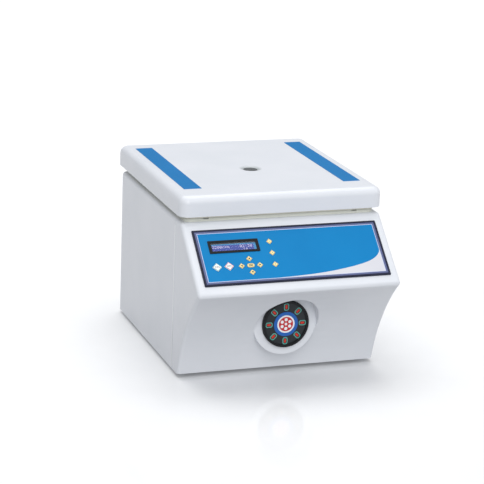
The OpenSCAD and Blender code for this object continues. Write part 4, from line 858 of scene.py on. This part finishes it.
def ring_tree():
    """Copies of a rounded bar on a circle round the badge's centre, each turned outwards.

    With a rim above 0 the bar is hollow, and the rim is its outline's width.
    """
    kinds = {"Count": "Int", "Material": "Material"}
    kinds.update(dict.fromkeys(("Circle", "Length", "Width", "Height", "Rim"), "Float"))
    tree, given = new_tree("badge_marks", kinds)
    take = given.outputs
    circle = add(tree, "GeometryNodeMeshCircle",
                 {"Vertices": take["Count"], "Radius": take["Circle"]})
    less = add(tree, "ShaderNodeMath", {0: take["Rim"], 1: 2.0}, operation="MULTIPLY")
    inner = [add(tree, "ShaderNodeMath", {0: take[name], 1: less.outputs[0]},
                 operation="SUBTRACT").outputs[0] for name in ("Length", "Width")]
    outline = tube_outline(tree, take["Length"], take["Width"])
    both = add(tree, "GeometryNodeJoinGeometry")
    for curve in (outline, tube_outline(tree, *inner)):
        tree.links.new(curve, both.inputs[0])
    hollow = add(tree, "FunctionNodeCompare", {"A": take["Rim"], "B": 0.0}, data_type="FLOAT",
                 operation="GREATER_THAN")
    chosen = add(tree, "GeometryNodeSwitch",
                 {"Switch": hollow.outputs[0], "False": outline, "True": both.outputs[0]},
                 input_type="GEOMETRY")
    filled = add(tree, "GeometryNodeFillCurve", {"Curve": chosen.outputs[0]}, mode="TRIANGLES")
    thick = add(tree, "GeometryNodeExtrudeMesh",
                {"Mesh": filled.outputs[0], "Offset Scale": take["Height"], "Individual": False})
    under = add(tree, "GeometryNodeFlipFaces", {"Mesh": filled.outputs[0]})
    shell = add(tree, "GeometryNodeJoinGeometry")
    for half in (thick, under):
        tree.links.new(half.outputs[0], shell.inputs[0])
    closed = add(tree, "GeometryNodeMergeByDistance",
                 {"Geometry": shell.outputs[0], "Distance": MARK_WELD})
    place = add(tree, "GeometryNodeInputPosition")
    heading = add(tree, "FunctionNodeAlignRotationToVector", {"Vector": place.outputs[0]},
                  axis="X")
    inked_copies(tree, circle.outputs[0], closed.outputs[0], heading.outputs[0], take["Material"])
    return tree


def laid_on_badge(piece, level):
    """Lays a shape that is drawn flat, in millimetres, on the badge at a level."""
    for vertex in piece.data.vertices:
        x, y, z = vertex.co
        vertex.co = on_badge(x, y, level + z)
    face_outwards(piece.data)
    return piece


teal_print = coated("teal_print", "#5FA79B", "#589F94", rough=0.36, cell=0.3, depth=0.01)
red_print = coated("red_print", "#D02A12", "#C62610", rough=0.36, cell=0.3, depth=0.01)
blue_print = coated("blue_print", "#005CB0", "#0057AA", rough=0.34, cell=0.4, depth=0.01)
white_print = coated("white_print", "#EDEFF2", "#E8EAEE", rough=0.34, cell=0.4, depth=0.01)
marks = ring_tree()
# A printed outline round each recess, and a core within it
tube_marks = [
    ("badge_tube_outlines", BADGE_LEVEL, teal_print,
     {"Length": 12.0, "Width": 8.6, "Rim": 1.45, "Height": 0.05}),
    ("badge_tube_cores", MARK_FLOOR, red_print,
     {"Length": 6.8, "Width": 3.4, "Rim": 0.0, "Height": 0.6}),
]
for name, level, mat, sizes in tube_marks:
    piece = grown(name, [(0, 0, 0)], marks,
                  {"Count": MARK_COUNT, "Circle": MARK_CIRCLE, "Material": mat, **sizes})
    finished(laid_on_badge(piece, level + MARK_GAP), mat, "housing")


def circle_outline(radius, at=(0, 0), steps=64):
    """A circle drawn with straight steps."""
    angles = [2 * math.pi * i / steps for i in range(steps)]
    return moved([(radius * math.cos(a), radius * math.sin(a)) for a in angles], *at)


# Radii in millimetres: the blue ring's and the white disc's, and their clearances; then the rotor
# picture's, with those of its wells, of their circle and of the hub
BLUE_RING, WHITE_DISC, COLLAR_CLEAR, DISC_CLEAR = 20.2, 14.6, 0.1, 0.02
PICTURE_R, WELL_R, WELL_CIRCLE, HUB_R, WELL_STEPS = 12.0, 2.7, 7.4, 2.3, 24
# Heights of the prints over the raised middle, in millimetres
RING_HIGH, DISC_HIGH, PICTURE_LOW, PICTURE_HIGH = 0.1, 0.12, 0.125, 0.16
crimson_print = coated("crimson_print", "#C01520", "#B8111C", rough=0.36, cell=0.3, depth=0.01)
well_angles = [math.radians(a) for a in range(30, 390, 60)]
wells = [circle_outline(WELL_R, (WELL_CIRCLE * math.cos(a), WELL_CIRCLE * math.sin(a)), WELL_STEPS)
         for a in well_angles]
hub = circle_outline(HUB_R, steps=WELL_STEPS)
ring_parts = [
    ("badge_blue_collar", [circle_outline(BLUE_RING), circle_outline(BOSS_R + COLLAR_CLEAR)],
     BADGE_LEVEL + GAP, BADGE_MIDDLE, blue_print),
    ("badge_blue_ring", [circle_outline(BLUE_RING), circle_outline(WHITE_DISC)],
     BADGE_MIDDLE + GAP, BADGE_MIDDLE + RING_HIGH, blue_print),
    ("badge_white_disc", [circle_outline(WHITE_DISC - DISC_CLEAR)],
     BADGE_MIDDLE + GAP, BADGE_MIDDLE + DISC_HIGH, white_print),
    ("badge_rotor_picture", [circle_outline(PICTURE_R)] + wells + [hub],
     BADGE_MIDDLE + PICTURE_LOW, BADGE_MIDDLE + PICTURE_HIGH, crimson_print),
]
for name, outlines, low, high, mat in ring_parts:
    finished(flat_piece(name, outlines, on_badge, low, high), mat, "housing")
